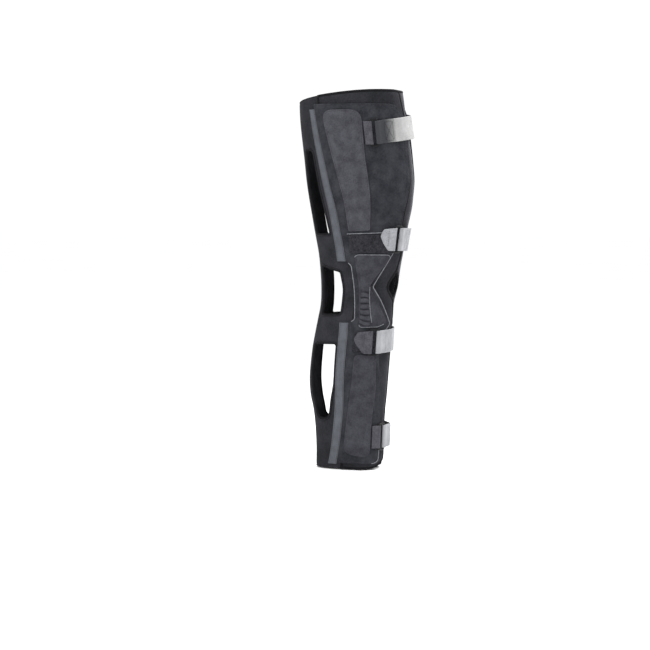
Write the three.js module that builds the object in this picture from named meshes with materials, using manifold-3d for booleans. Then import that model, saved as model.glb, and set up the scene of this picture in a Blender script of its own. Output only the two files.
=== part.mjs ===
// A knee immobilizer in the form that it has on a right leg: a padded wrap closed down the
// front, a stiffened panel on each side, and four straps, each through a slot ring.
// Millimetres, +Z up. The origin is the middle of the knee, inside the open hollow that the
// leg fills. The front of the knee faces -Y and the outer (lateral) side faces -X.
//
// Every soft piece is cut flat from a gridded sheet and then wrapped round the leg's form.
// The flat pattern has two measures. "round" goes round the leg: 0 is the middle of the
// back, 1 the middle of the front by way of the lateral side, -1 the same by the medial
// side. "height" is in millimetres from the knee.

import * as THREE from "three";
import { mergeVertices } from "three/addons/utils/BufferGeometryUtils.js";
import Module from "manifold-3d";

const library = await Module();
library.setup();

// Lengths above and below the knee, and the inside of the wrap at four places
const ABOVE_KNEE = 335;
const BELOW_KNEE = 311;
const THIGH_DEPTH = 174;
const THIGH_WIDTH = 156;
const KNEE_DEPTH = 122;
const KNEE_WIDTH = 110;
const CALF_DEPTH = 122;
const CALF_WIDTH = 108;
const ANKLE_DEPTH = 102;
const ANKLE_WIDTH = 82;

// Thicknesses, from the leg outward
const WRAP_THICK = 4.5;
const PANEL_THICK = 2.5;
const PAD_THICK = 2;
const TAPE_THICK = 1.2;
const LOOP_BAND_THICK = 1;
const WEBBING_THICK = 1.2;
const RING_THICK = 2.5;
const HOOK_STAND = 0.3;
const LAYER_GAP = 0.8;
const RING_GAP = 0.45;

// The near flap lies over the far one at the front, and is lifted by it
const LAP_UNDER = 30;
const LAP_MARGIN = 12;
const LAP_RAMP = 22;
const STRAP_FALL = 28;

const TAPE_WIDTH = 16;
const TAPE_WIDTH_AT_TOP = 12;
const SEAM_UNDER_PANEL = 8;
const BAND_HEIGHT = 31;
const STRAP_WIDTH = 39;
const RING_OPENING = 8;
const RING_BAR = 3;
const RING_END_PLAY = 1;
const FOLDED_BACK = 34;
const RIB_RISE = 0.9;

// The form of the leg. Heights are shares of ABOVE_KNEE or BELOW_KNEE. Front, back, side and
// lean are shares of the depth and width of the place that the row follows.
const PLACES = {
  thigh: { depth: THIGH_DEPTH, width: THIGH_WIDTH },
  knee: { depth: KNEE_DEPTH, width: KNEE_WIDTH },
  calf: { depth: CALF_DEPTH, width: CALF_WIDTH },
  ankle: { depth: ANKLE_DEPTH, width: ANKLE_WIDTH },
};
const FORM = [
  { height: -1.03, follows: "ankle", front: 0.314, back: 0.71, side: 0.5, lean: 0 },
  { height: -0.905, follows: "ankle", front: 0.333, back: 0.705, side: 0.512, lean: 0 },
  { height: -0.794, follows: "ankle", front: 0.343, back: 0.72, side: 0.543, lean: 0 },
  { height: -0.676, follows: "calf", front: 0.303, back: 0.632, side: 0.444, lean: 0 },
  { height: -0.594, follows: "calf", front: 0.324, back: 0.671, side: 0.477, lean: 0 },
  { height: -0.492, follows: "calf", front: 0.344, back: 0.683, side: 0.5, lean: 0 },
  { height: -0.349, follows: "calf", front: 0.381, back: 0.645, side: 0.509, lean: 0 },
  { height: -0.27, follows: "calf", front: 0.393, back: 0.607, side: 0.5, lean: 0 },
  { height: -0.175, follows: "knee", front: 0.41, back: 0.56, side: 0.482, lean: 0 },
  { height: -0.095, follows: "knee", front: 0.443, back: 0.522, side: 0.482, lean: 0 },
  { height: 0, follows: "knee", front: 0.5, back: 0.513, side: 0.5, lean: 0 },
  { height: 0.09, follows: "knee", front: 0.541, back: 0.522, side: 0.518, lean: -0.009 },
  { height: 0.179, follows: "knee", front: 0.586, back: 0.543, side: 0.545, lean: -0.018 },
  { height: 0.299, follows: "thigh", front: 0.454, back: 0.422, side: 0.417, lean: -0.019 },
  { height: 0.418, follows: "thigh", front: 0.503, back: 0.461, side: 0.449, lean: -0.026 },
  { height: 0.537, follows: "thigh", front: 0.517, back: 0.494, side: 0.474, lean: -0.038 },
  { height: 0.642, follows: "thigh", front: 0.503, back: 0.517, side: 0.487, lean: -0.045 },
  { height: 0.746, follows: "thigh", front: 0.477, back: 0.538, side: 0.5, lean: -0.051 },
  { height: 0.866, follows: "thigh", front: 0.443, back: 0.556, side: 0.506, lean: -0.064 },
  { height: 1.03, follows: "thigh", front: 0.402, back: 0.565, side: 0.513, lean: -0.077 },
];

// Edges that run the length of the leg, as rounds at heights
const SIDE_EDGE = [
  { height: -1, round: 0.399 },
  { height: -0.8, round: 0.47 },
  { height: -0.603, round: 0.516 },
  { height: -0.4, round: 0.52 },
  { height: -0.19, round: 0.513 },
  { height: 0.137, round: 0.448 },
  { height: 0.35, round: 0.405 },
  { height: 0.552, round: 0.358 },
  { height: 0.904, round: 0.301 },
  { height: 1, round: 0.29 },
];
const TOP_RIM = [
  { round: 0, height: 0.94 },
  { round: 0.39, height: 0.979 },
  { round: 0.7, height: 1 },
  { round: 1, height: 1 },
];

// Outlines cut in the flat, as corners in order, each with the radius that rounds it
const THIGH_WINDOW = [
  { round: 0.148, height: 0.272, radius: 4 },
  { round: 0.317, height: 0.275, radius: 3 },
  { round: 0.266, height: 0.5, radius: 60 },
  { round: 0.238, height: 0.7, radius: 12 },
  { round: 0.16, height: 0.7, radius: 9 },
  { round: 0.128, height: 0.5, radius: 60 },
];
const KNEE_WINDOW = [
  { round: 0.182, height: -0.149, radius: 5 },
  { round: 0.418, height: -0.145, radius: 6 },
  { round: 0.424, height: -0.006, radius: 60 },
  { round: 0.392, height: 0.08, radius: 5 },
  { round: 0.17, height: 0.112, radius: 5 },
];
const CALF_WINDOW = [
  { round: 0.165, height: -0.725, radius: 14 },
  { round: 0.32, height: -0.725, radius: 16 },
  { round: 0.418, height: -0.53, radius: 90 },
  { round: 0.414, height: -0.308, radius: 6 },
  { round: 0.135, height: -0.312, radius: 6 },
  { round: 0.145, height: -0.52, radius: 60 },
];
const NEAR_EDGE = [
  { round: 0.8, height: -1, radius: 40 },
  { round: 0.985, height: -0.955, radius: 16 },
  { round: 0.97, height: -0.85, radius: 30 },
  { round: 0.98, height: -0.5, radius: 60 },
  { round: 0.96, height: -0.3, radius: 30 },
  { round: 0.97, height: -0.16, radius: 12 },
  { round: 0.93, height: -0.074, radius: 10 },
  { round: 0.8, height: 0.002, radius: 16 },
  { round: 0.902, height: 0.088, radius: 12 },
  { round: 0.93, height: 0.17, radius: 20 },
  { round: 0.885, height: 0.307, radius: 30 },
  { round: 0.882, height: 0.385, radius: 30 },
  { round: 0.922, height: 0.543, radius: 60 },
  { round: 0.917, height: 0.654, radius: 60 },
  { round: 0.94, height: 0.86, radius: 60 },
  { round: 0.905, height: 0.999, radius: 34 },
];
const FAR_EDGE = [
  { height: -1, beyond: -1, radius: 30 },
  { height: -0.955, beyond: 1, radius: 14 },
  { height: -0.115, beyond: 1, radius: 14 },
  { height: 0.006, beyond: -0.53, radius: 18 },
  { height: 0.125, beyond: 1, radius: 14 },
  { height: 1, beyond: 1, radius: 10 },
];
const PANEL_FRONT = [
  { round: 0.845, height: -0.97, radius: 12 },
  { round: 0.858, height: -0.721, radius: 60 },
  { round: 0.829, height: -0.552, radius: 60 },
  { round: 0.785, height: -0.36, radius: 20 },
  { round: 0.84, height: -0.235, radius: 12 },
  { round: 0.895, height: -0.2, radius: 7 },
  { round: 0.683, height: 0.006, radius: 6 },
  { round: 0.868, height: 0.24, radius: 20 },
  { round: 0.862, height: 0.385, radius: 40 },
  { round: 0.904, height: 0.543, radius: 60 },
  { round: 0.9, height: 0.654, radius: 60 },
  { round: 0.918, height: 0.86, radius: 40 },
  { round: 0.83, height: 0.93, radius: 24 },
];
const THIGH_PAD = [
  { round: 0.482, height: 0.287, radius: 8 },
  { round: 0.634, height: 0.293, radius: 8 },
  { round: 0.629, height: 0.452, radius: 60 },
  { round: 0.612, height: 0.654, radius: 60 },
  { round: 0.618, height: 0.9, radius: 12 },
  { round: 0.364, height: 0.9, radius: 14 },
  { round: 0.409, height: 0.654, radius: 60 },
  { round: 0.454, height: 0.452, radius: 60 },
];
const KNEE_PAD = [
  { round: 0.61, height: -0.216, radius: 6 },
  { round: 0.75, height: -0.214, radius: 12 },
  { round: 0.84, height: -0.192, radius: 7 },
  { round: 0.652, height: 0.006, radius: 7 },
  { round: 0.805, height: 0.168, radius: 6 },
  { round: 0.515, height: 0.17, radius: 8 },
  { round: 0.5615, height: 0.02, radius: 60 },
  { round: 0.5885, height: -0.114, radius: 60 },
];
const CALF_PAD = [
  { round: 0.49, height: -0.91, radius: 16 },
  { round: 0.742, height: -0.94, radius: 12 },
  { round: 0.752, height: -0.721, radius: 60 },
  { round: 0.775, height: -0.552, radius: 60 },
  { round: 0.755, height: -0.368, radius: 10 },
  { round: 0.595, height: -0.365, radius: 8 },
  { round: 0.594, height: -0.53, radius: 60 },
];
const GATHERS = [
  { round: 0.612, height: -0.205, radius: 3 },
  { round: 0.695, height: -0.205, radius: 3 },
  { round: 0.65, height: -0.02, radius: 3 },
  { round: 0.585, height: -0.02, radius: 3 },
];
const UPPER_BAND = { from: 0.482, to: 0.86, height: 0.224 };
const LOWER_BAND = { from: 0.575, to: 0.775, height: -0.302 };

// Straps, from the lateral end to the medial one. "ring" is how far round the ring's middle is
// from the front's, "end" the same for the medial end. "reach" is the length of the anchor or
// tab behind its ring, as a share of the strap's width, "bed" what that lies on, and "endBed"
// what the strap's other end is sewn to. The two straps at the knee sink to the wrap between
// the two panels' front edges, which are "sink" round from the front's middle.
const STRAPS = [
  {
    name: "thigh", height: 0.782, front: 0.834,
    ring: 0.322, end: 0.355, reach: 0.28, bed: "panel", endBed: "panel", sink: 0,
  },
  {
    name: "upper_knee", height: 0.247, front: 0.241,
    ring: 0.18, end: 0.34, reach: 0.54, bed: "band", endBed: "panel", sink: 0.142,
  },
  {
    name: "lower_knee", height: -0.297, front: -0.281,
    ring: 0.272, end: 0.388, reach: 0.62, bed: "band", endBed: "panel", sink: 0.13,
  },
  {
    name: "ankle", height: -0.822, front: -0.815,
    ring: 0.15, end: 0.42, reach: 0.31, bed: "panel", endBed: "pad", sink: 0,
  },
];
const SINK_RAMP = 20;
// The pointed tab, as shares of its reach and of half the strap's width
const TAB = [
  { back: 0, up: 1, radius: 0 },
  { back: 0.76, up: 0.93, radius: 5 },
  { back: 1, up: 0.25, radius: 6 },
  { back: 0.46, up: -1, radius: 6 },
  { back: 0, up: -1, radius: 0 },
];

// Grid of the flat sheets. It is the same for every layer, so that the facets of one layer
// lie parallel to those of the next.
const PATTERN_WIDTH = 200;
const ROUND_STEP = 2 / 44;
const HEIGHT_STEP = 31;
const EDGE_BOW = 0.05;

const COLOURS = {
  foam: { color: "#34343a", roughness: 0.95 },
  velour: { color: "#3c3c41", roughness: 0.95 },
  pad: { color: "#434349", roughness: 0.95 },
  tape: { color: "#5b5d62", roughness: 0.8 },
  band: { color: "#2e2f33", roughness: 1 },
  webbing: { color: "#a6a7ab", roughness: 0.8 },
  greyTab: { color: "#9b9ca1", roughness: 0.9 },
  darkTab: { color: "#4b4b50", roughness: 0.9 },
  plastic: { color: "#141416", roughness: 0.4 },
};

const heightOf = (share) => share * (share < 0 ? BELOW_KNEE : ABOVE_KNEE);
const smooth = (x) => x * x * (3 - 2 * x);
const ramp = (x, from, to) => smooth(THREE.MathUtils.clamp((x - from) / (to - from), 0, 1));

// A value from the rows of a table, on a smooth curve through them
function through(rows, key, x, column) {
  const last = rows.length - 2;
  let i = 0;
  while (i < last && x > rows[i + 1][key]) i += 1;
  const at = (j) => rows[THREE.MathUtils.clamp(j, 0, rows.length - 1)];
  const slope = (j) => {
    const before = at(j - 1);
    const after = at(j + 1);
    return (after[column] - before[column]) / (after[key] - before[key]);
  };
  const span = rows[i + 1][key] - rows[i][key];
  const t = (x - rows[i][key]) / span;
  return (
    rows[i][column] * (1 + 2 * t) * (1 - t) ** 2 +
    rows[i + 1][column] * t * t * (3 - 2 * t) +
    span * t * (1 - t) * (slope(i) * (1 - t) - slope(i + 1) * t)
  );
}

// One level section of the leg: four quarter ellipses, measured round from the back
const FORM_ROWS = FORM.map((row) => ({
  height: heightOf(row.height),
  front: row.front * PLACES[row.follows].depth,
  back: row.back * PLACES[row.follows].depth,
  side: row.side * PLACES[row.follows].width,
  lean: row.lean * PLACES[row.follows].width,
}));
const ANGLE_STEPS = 120;
const sections = new Map();

function sectionAt(height) {
  const key = height.toFixed(3);
  if (sections.has(key)) return sections.get(key);
  const section = {};
  for (const name of ["front", "back", "side", "lean"]) {
    section[name] = through(FORM_ROWS, "height", height, name);
  }
  const lengths = [0];
  let before = [0, section.back];
  for (let i = 1; i <= ANGLE_STEPS; i += 1) {
    const angle = (Math.PI * i) / ANGLE_STEPS;
    const depth = angle < Math.PI / 2 ? section.back : section.front;
    const point = [section.side * Math.sin(angle), depth * Math.cos(angle)];
    lengths.push(lengths[i - 1] + Math.hypot(point[0] - before[0], point[1] - before[1]));
    before = point;
  }
  section.lengths = lengths;
  section.half = lengths[ANGLE_STEPS];
  sections.set(key, section);
  return section;
}

const halfGirth = (height) => sectionAt(height).half;

// A point of the wrapped pattern: round the leg, at a height, and out from its skin
function place(round, height, out) {
  const section = sectionAt(height);
  const turn = round - 2 * Math.round(round / 2);
  const side = turn < 0 ? 1 : -1;
  const length = Math.abs(turn) * section.half;
  let low = 0;
  let high = ANGLE_STEPS;
  while (high - low > 1) {
    const middle = (low + high) >> 1;
    if (section.lengths[middle] <= length) low = middle;
    else high = middle;
  }
  const part = (length - section.lengths[low]) / (section.lengths[high] - section.lengths[low]);
  const angle = (Math.PI * (low + part)) / ANGLE_STEPS;
  const depth = angle < Math.PI / 2 ? section.back : section.front;
  const normal = new THREE.Vector2(
    (side * Math.sin(angle)) / section.side,
    Math.cos(angle) / depth,
  ).normalize();
  return [
    section.lean + side * section.side * Math.sin(angle) + out * normal.x,
    depth * Math.cos(angle) + out * normal.y,
    height,
  ];
}

// How far the far flap's end lifts what lies over it
function lift(round, height) {
  const toFront = (1 - round) * halfGirth(height);
  const full = LAP_UNDER + LAP_MARGIN;
  const rise = 1 - ramp(toFront, full, full + LAP_RAMP);
  return (WRAP_THICK + LAYER_GAP) * rise * ramp(toFront, -STRAP_FALL, 2);
}

// A polygon's corners rounded by arcs, in the flat. Each corner is [round, height, radius].
function rounded(corners) {
  const points = [];
  corners.forEach(([round, height, radius], i) => {
    const [roundBefore, heightBefore] = corners[(i + corners.length - 1) % corners.length];
    const [roundAfter, heightAfter] = corners[(i + 1) % corners.length];
    const scale = halfGirth(height);
    const before = new THREE.Vector2((roundBefore - round) * scale, heightBefore - height);
    const after = new THREE.Vector2((roundAfter - round) * scale, heightAfter - height);
    const half = before.angleTo(after) / 2;
    const room = 0.45 * Math.min(before.length(), after.length());
    const cut = Math.min(room, radius / Math.tan(half));
    if (cut < 0.2 || half > 1.55) {
      points.push(new THREE.Vector2(round * PATTERN_WIDTH, height));
      return;
    }
    const turn = Math.PI - 2 * half;
    const steps = Math.max(1, Math.round((turn / Math.PI) * 6));
    const start = before.clone().setLength(cut);
    const end = after.clone().setLength(cut);
    const bow = new THREE.QuadraticBezierCurve(start, new THREE.Vector2(), end);
    for (const point of bow.getPoints(steps)) {
      points.push(new THREE.Vector2((round + point.x / scale) * PATTERN_WIDTH, height + point.y));
    }
  });
  return points;
}

const corner = (row) => [row.round, heightOf(row.height), row.radius];
const mirrored = (points) => points.map((p) => new THREE.Vector2(-p.x, p.y)).reverse();
const onSide = (points, side) => (side > 0 ? points : mirrored(points));

// A strip of the pattern between two edges, each a function from height to round
function strip(left, right, bottom, top) {
  const count = Math.max(1, Math.round((top - bottom) / HEIGHT_STEP));
  const heights = Array.from({ length: count + 1 }, (_, i) => bottom + ((top - bottom) * i) / count);
  const point = (edge) => (height) => new THREE.Vector2(edge(height) * PATTERN_WIDTH, height);
  return [...heights.map(point(left)), ...heights.reverse().map(point(right))];
}

// A manifold body from a closed geometry
function solid(geometry) {
  geometry.deleteAttribute("normal");
  geometry.deleteAttribute("uv");
  const merged = mergeVertices(geometry, 1e-4);
  return new library.Manifold(
    new library.Mesh({
      numProp: 3,
      vertProperties: merged.attributes.position.array,
      triVerts: new Uint32Array(merged.index.array),
    }),
  );
}

// An outline of the flat pattern, standing through all the layers. Its long edges get points
// between, on a bow too slight to see, so that they bend with the sheet.
function prism(outline) {
  const points = [];
  outline.forEach((start, i) => {
    const edge = new THREE.Vector2().subVectors(outline[(i + 1) % outline.length], start);
    const across = Math.abs(edge.x) / (ROUND_STEP * PATTERN_WIDTH);
    const steps = Math.ceil(Math.max(across, Math.abs(edge.y) / HEIGHT_STEP) - 0.2);
    const out = new THREE.Vector2(edge.y, -edge.x).normalize();
    for (let k = 0; k < Math.max(1, steps); k += 1) {
      const part = k / Math.max(1, steps);
      const bow = EDGE_BOW * 4 * part * (1 - part);
      points.push(start.clone().addScaledVector(edge, part).addScaledVector(out, bow));
    }
  });
  const shape = new THREE.Shape(points);
  const geometry = new THREE.ExtrudeGeometry(shape, { depth: 60, bevelEnabled: false });
  return solid(geometry.translate(0, 0, -20));
}

// A flat piece: a gridded sheet between two layers, cut by an outline and pierced by holes
function cutPiece(outline, holes, inner, outer, heightStep = HEIGHT_STEP) {
  const box = new THREE.Box2().setFromPoints(outline);
  const stepX = ROUND_STEP * PATTERN_WIDTH;
  const fromX = Math.floor(box.min.x / stepX - 0.01);
  const toX = Math.ceil(box.max.x / stepX + 0.01);
  const fromY = Math.floor(box.min.y / heightStep - 0.01);
  const toY = Math.ceil(box.max.y / heightStep + 0.01);
  const sheet = new THREE.BoxGeometry(
    (toX - fromX) * stepX,
    (toY - fromY) * heightStep,
    outer - inner,
    toX - fromX,
    toY - fromY,
    1,
  );
  sheet.translate(
    ((fromX + toX) / 2) * stepX,
    ((fromY + toY) / 2) * heightStep,
    (inner + outer) / 2,
  );
  let piece = solid(sheet).intersect(prism(outline));
  for (const hole of holes) piece = piece.subtract(prism(hole));
  return piece;
}

// The mesh of a body, with every vertex moved by a rule
function moved(body, rule) {
  const mesh = body.getMesh();
  const positions = [];
  for (let i = 0; i < mesh.vertProperties.length; i += mesh.numProp) {
    positions.push(...rule(...mesh.vertProperties.slice(i, i + 3)));
  }
  const geometry = new THREE.BufferGeometry();
  geometry.setAttribute("position", new THREE.Float32BufferAttribute(positions, 3));
  geometry.setIndex(Array.from(mesh.triVerts));
  const flat = geometry.toNonIndexed();
  flat.computeVertexNormals();
  return flat;
}

const brace = new THREE.Group();

function add(name, geometry, look) {
  const mesh = new THREE.Mesh(geometry, new THREE.MeshStandardMaterial({ metalness: 0, ...look }));
  mesh.name = name;
  brace.add(mesh);
}

// A flat piece wrapped round the leg. What lies on the lateral side follows the lap's lift.
const wrapped = (body, side, relief = () => 0) =>
  moved(body, (x, height, out) => {
    const round = x / PATTERN_WIDTH;
    const raise = side > 0 ? lift(round, height) : 0;
    return place(round, height, out + raise + relief(round, height, out));
  });

// Heights of the layers over the skin
const PANEL_IN = WRAP_THICK + LAYER_GAP;
const PANEL_OUT = PANEL_IN + PANEL_THICK;
const PAD_IN = PANEL_OUT + LAYER_GAP;
const PAD_OUT = PAD_IN + PAD_THICK;
const BAND_OUT = PAD_IN + LOOP_BAND_THICK;
const BED_OUT = { panel: PANEL_OUT, band: BAND_OUT + HOOK_STAND, pad: PAD_OUT };

const sideEdge = (height) =>
  through(SIDE_EDGE, "height", height / (height < 0 ? BELOW_KNEE : ABOVE_KNEE), "round");
const beside = (height, millimetres) => millimetres / halfGirth(height);
const seamEdge = (height) => sideEdge(height) + beside(height, SEAM_UNDER_PANEL);

function topRim(from, to) {
  const steps = Math.max(2, Math.round(Math.abs(to - from) / (2 * ROUND_STEP)));
  return Array.from({ length: steps + 1 }, (_, i) => {
    const round = from + ((to - from) * i) / steps;
    return [round, heightOf(through(TOP_RIM, "round", Math.abs(round), "height")), 0];
  });
}

function seamHeights() {
  const rise = heightOf(0.95) + BELOW_KNEE;
  return Array.from({ length: 12 }, (_, i) => -BELOW_KNEE + (rise * i) / 11);
}

// The wrap behind the side seams, with three windows on either side of the spine
function backPanel() {
  const edge = (height) => seamEdge(height) - beside(height, LAYER_GAP / 2);
  const heights = seamHeights();
  const right = heights.map((height) => [edge(height), height, 0]);
  const rimStart = edge(heightOf(0.96));
  const left = heights.map((height) => [-edge(height), height, 0]).reverse();
  const outline = rounded([...right, ...topRim(rimStart, -rimStart), ...left]);
  const holes = [THIGH_WINDOW, KNEE_WINDOW, CALF_WINDOW].flatMap((rows) => {
    const hole = rounded(rows.map(corner));
    return [hole, mirrored(hole)];
  });
  add("back_panel", wrapped(cutPiece(outline, holes, 0, WRAP_THICK), -1), COLOURS.foam);
}

// A flap of the wrap, from its side seam to its front edge
function flap(name, side, frontEdge) {
  const edge = (height) => seamEdge(height) + beside(height, LAYER_GAP / 2);
  const heights = seamHeights().reverse();
  const back = heights.map((height) => [edge(height), height, 0]);
  const last = frontEdge[frontEdge.length - 1];
  const rim = topRim(last[0] - 0.05, edge(heightOf(0.96)));
  const outline = rounded([...frontEdge, ...rim, ...back]);
  const body = cutPiece(onSide(outline, side), [], 0, WRAP_THICK);
  add(name, wrapped(body, side), COLOURS.foam);
}

function farEdge() {
  return FAR_EDGE.map((row) => {
    const height = heightOf(row.height);
    return [1 + beside(height, row.beyond * LAP_UNDER), height, row.radius];
  });
}

// The stiffened panel on one side, with its notch at the kneecap
function sidePanel(name, side) {
  const bottom = heightOf(-0.97);
  const top = heightOf(0.93);
  const kneeTop = heightOf(0.137);
  const kneeBottom = heightOf(-0.185);
  const back = [];
  for (let i = 0; i <= 6; i += 1) back.push(top + ((kneeTop - top) * i) / 6);
  const knee = [kneeTop - 8, (kneeTop + kneeBottom) / 2, kneeBottom + 4];
  const below = [];
  for (let i = 0; i <= 6; i += 1) below.push(kneeBottom - 2 + ((bottom - kneeBottom + 2) * i) / 6);
  const step = (height) => 8 + 1.5 * ramp(-height, -kneeTop, -kneeBottom);
  const rear = [
    ...back.map((height) => [sideEdge(height) + beside(height, LAYER_GAP), height, 0]),
    ...knee.map((height) => [sideEdge(height) + beside(height, step(height)), height, 6]),
    ...below.map((height) => [sideEdge(height) + beside(height, LAYER_GAP), height, 0]),
  ];
  const outline = rounded([...PANEL_FRONT.map(corner), ...rear]);
  const body = cutPiece(onSide(outline, side), [], PANEL_IN, PANEL_OUT);
  add(name, wrapped(body, side), COLOURS.velour);
}

// The tape over the wrap along the panel's rear edge
function sideTape(name, side, bottom, top) {
  const right = (height) => sideEdge(height);
  const width = (height) =>
    TAPE_WIDTH + (TAPE_WIDTH_AT_TOP - TAPE_WIDTH) * THREE.MathUtils.clamp(height / ABOVE_KNEE, 0, 1);
  const left = (height) => sideEdge(height) - beside(height, width(height));
  const outline = strip(right, left, heightOf(bottom), heightOf(top));
  const body = cutPiece(onSide(outline, side), [], PANEL_IN, PANEL_IN + TAPE_THICK);
  add(name, wrapped(body, side), COLOURS.tape);
}

function pad(name, side, rows) {
  const outline = onSide(rounded(rows.map(corner)), side);
  add(name, wrapped(cutPiece(outline, [], PAD_IN, PAD_OUT), side), COLOURS.pad);
}

// The gathered cover over the stay at the knee, ribbed across
function gathers(name, side) {
  const outline = onSide(rounded(GATHERS.map(corner)), side);
  const inner = PAD_OUT + LAYER_GAP;
  const outer = inner + WEBBING_THICK;
  const body = cutPiece(outline, [], inner, outer, HEIGHT_STEP / 8);
  const ribs = (round, height, out) =>
    out > inner + 0.1 ? RIB_RISE * Math.cos((Math.PI * height) / (HEIGHT_STEP / 8)) : 0;
  add(name, wrapped(body, side, ribs), COLOURS.pad);
}

function loopBand(name, band) {
  const middle = heightOf(band.height);
  const outline = strip(
    () => band.to,
    () => band.from,
    middle - BAND_HEIGHT / 2,
    middle + BAND_HEIGHT / 2,
  );
  add(name, wrapped(cutPiece(outline, [], PAD_IN, BAND_OUT), 1), COLOURS.band);
}

// Where a strap's own measures go: along it from the ring toward the front, across it, and
// out from the bed that its ring lies on
const strapPlace = (strap) => (along, across, out) => {
  const half = halfGirth(heightOf(strap.height));
  const toFront = strap.ring * half - along;
  const travel = THREE.MathUtils.clamp(along / ((strap.ring + strap.end) * half), 0, 1);
  const slant = Math.sin(travel * Math.PI * 0.5);
  const middle = heightOf(strap.height + (strap.front - strap.height) * slant);
  const round = 1 - toFront / halfGirth(middle);
  const bed = BED_OUT[strap.bed];
  const over = bed + (BED_OUT[strap.endBed] - bed) * ramp(along, 0, strap.ring * half + 8);
  const edge = strap.sink * half;
  const sunk = edge === 0 ? 0 : 1 - ramp(Math.abs(toFront), edge - SINK_RAMP, edge);
  const level = over + (WRAP_THICK + HOOK_STAND - over) * sunk;
  return place(round, middle + across, level + out + lift(round, middle));
};

const FOLD_FACE = RING_OPENING / 2 - RING_GAP - WEBBING_THICK;
const BAR_HOLE_FROM = RING_OPENING / 2 - RING_GAP;
const BAR_HOLE_TO = RING_OPENING / 2 + RING_BAR + RING_GAP;
const UNDER_BAR = LAYER_GAP + WEBBING_THICK;
const OVER_BAR = UNDER_BAR + RING_THICK + 2 * RING_GAP;

// Webbing folded round a ring's bar and sewn to itself, on the ring's own axes: along, across
// and out. It is doubled for a length, then runs on single to its reach.
function foldedWebbing(doubled, reach) {
  const settled = Math.min(BAR_HOLE_TO + 7, (BAR_HOLE_TO + reach) / 2 + 1);
  const fold = new THREE.Shape(
    roundedFlat([
      [FOLD_FACE, LAYER_GAP, 1],
      [settled, LAYER_GAP, 0],
      [settled, UNDER_BAR + WEBBING_THICK, 0],
      [BAR_HOLE_TO + 0.6, OVER_BAR + WEBBING_THICK, 1],
      [FOLD_FACE, OVER_BAR + WEBBING_THICK, 1],
    ]),
  );
  fold.holes.push(
    new THREE.Path([
      new THREE.Vector2(BAR_HOLE_FROM, UNDER_BAR),
      new THREE.Vector2(BAR_HOLE_TO, UNDER_BAR),
      new THREE.Vector2(BAR_HOLE_TO, OVER_BAR),
      new THREE.Vector2(BAR_HOLE_FROM, OVER_BAR),
    ]),
  );
  const loop = new THREE.ExtrudeGeometry(fold, {
    depth: STRAP_WIDTH,
    steps: 2,
    bevelEnabled: false,
  });
  loop.translate(0, 0, -STRAP_WIDTH / 2);
  loop.rotateX(Math.PI / 2);

  const start = settled - 0.5;
  const steps = Math.max(1, Math.round((reach - start) / 7.5));
  const run = new THREE.BoxGeometry(reach - start, STRAP_WIDTH, 1, steps, 2, 1);
  run.translate((start + reach) / 2, 0, 0);
  const corners = run.attributes.position;
  for (let i = 0; i < corners.count; i += 1) {
    const layers = corners.getX(i) > doubled + 0.01 ? 1 : 2;
    const outer = LAYER_GAP + layers * WEBBING_THICK;
    corners.setZ(i, corners.getZ(i) > 0 ? outer : LAYER_GAP);
  }
  return solid(loop).add(solid(run));
}

function strapSet(strap) {
  const at = strapPlace(strap);
  const settled = (body) => moved(body, (x, y, z) => at(x, y, z));

  const half = halfGirth(heightOf(strap.height));
  const front = foldedWebbing(FOLDED_BACK, (strap.ring + strap.end) * half);
  add(`${strap.name}_strap`, settled(front), COLOURS.webbing);

  const reach = strap.reach * STRAP_WIDTH;
  const back = FOLD_FACE + reach;
  let holder = foldedWebbing(back, back).mirror([1, 0, 0]);
  if (strap.bed === "band") {
    const outline = TAB.map((row) => [
      -FOLD_FACE - row.back * reach + (row.back === 0 ? 2 : 0),
      row.up * (STRAP_WIDTH / 2 + (row.back === 0 ? 1 : 0)),
      row.radius,
    ]);
    holder = holder.intersect(prism(roundedFlat(outline)));
  }
  const isTab = strap.bed === "band";
  const look = strap.name === "upper_knee" ? COLOURS.greyTab : COLOURS.darkTab;
  add(`${strap.name}_${isTab ? "tab" : "anchor"}`, settled(holder), look);

  const long = STRAP_WIDTH + 2 * (RING_END_PLAY + RING_BAR);
  const wide = RING_OPENING + 2 * RING_BAR;
  const ring = new THREE.Shape(roundedBox(wide, long, RING_BAR * 0.7));
  ring.holes.push(new THREE.Path(roundedBox(RING_OPENING, long - 2 * RING_BAR, 1).reverse()));
  const plate = new THREE.ExtrudeGeometry(ring, { depth: RING_THICK, bevelEnabled: false });
  plate.translate(0, 0, UNDER_BAR + RING_GAP);
  add(`${strap.name}_ring`, settled(solid(plate)), COLOURS.plastic);
}

// Corners in plain millimetres, rounded
function roundedFlat(corners) {
  const points = [];
  corners.forEach(([x, y, radius], i) => {
    const [beforeX, beforeY] = corners[(i + corners.length - 1) % corners.length];
    const [afterX, afterY] = corners[(i + 1) % corners.length];
    const here = new THREE.Vector2(x, y);
    if (radius === 0) {
      points.push(here);
      return;
    }
    const before = new THREE.Vector2(beforeX - x, beforeY - y);
    const after = new THREE.Vector2(afterX - x, afterY - y);
    const cut = radius / Math.tan(before.angleTo(after) / 2);
    const start = before.setLength(Math.min(cut, 0.45 * before.length())).add(here);
    const end = after.setLength(Math.min(cut, 0.45 * after.length())).add(here);
    points.push(...new THREE.QuadraticBezierCurve(start, here, end).getPoints(3));
  });
  return points;
}

// A rounded box whose long sides have a point in their middle, so that they bend as straps do
const roundedBox = (wide, long, radius) =>
  roundedFlat([
    [-wide / 2, -long / 2, radius],
    [wide / 2, -long / 2, radius],
    [wide / 2 + EDGE_BOW, 0, 0],
    [wide / 2, long / 2, radius],
    [-wide / 2, long / 2, radius],
    [-wide / 2 - EDGE_BOW, 0, 0],
  ]);

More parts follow.
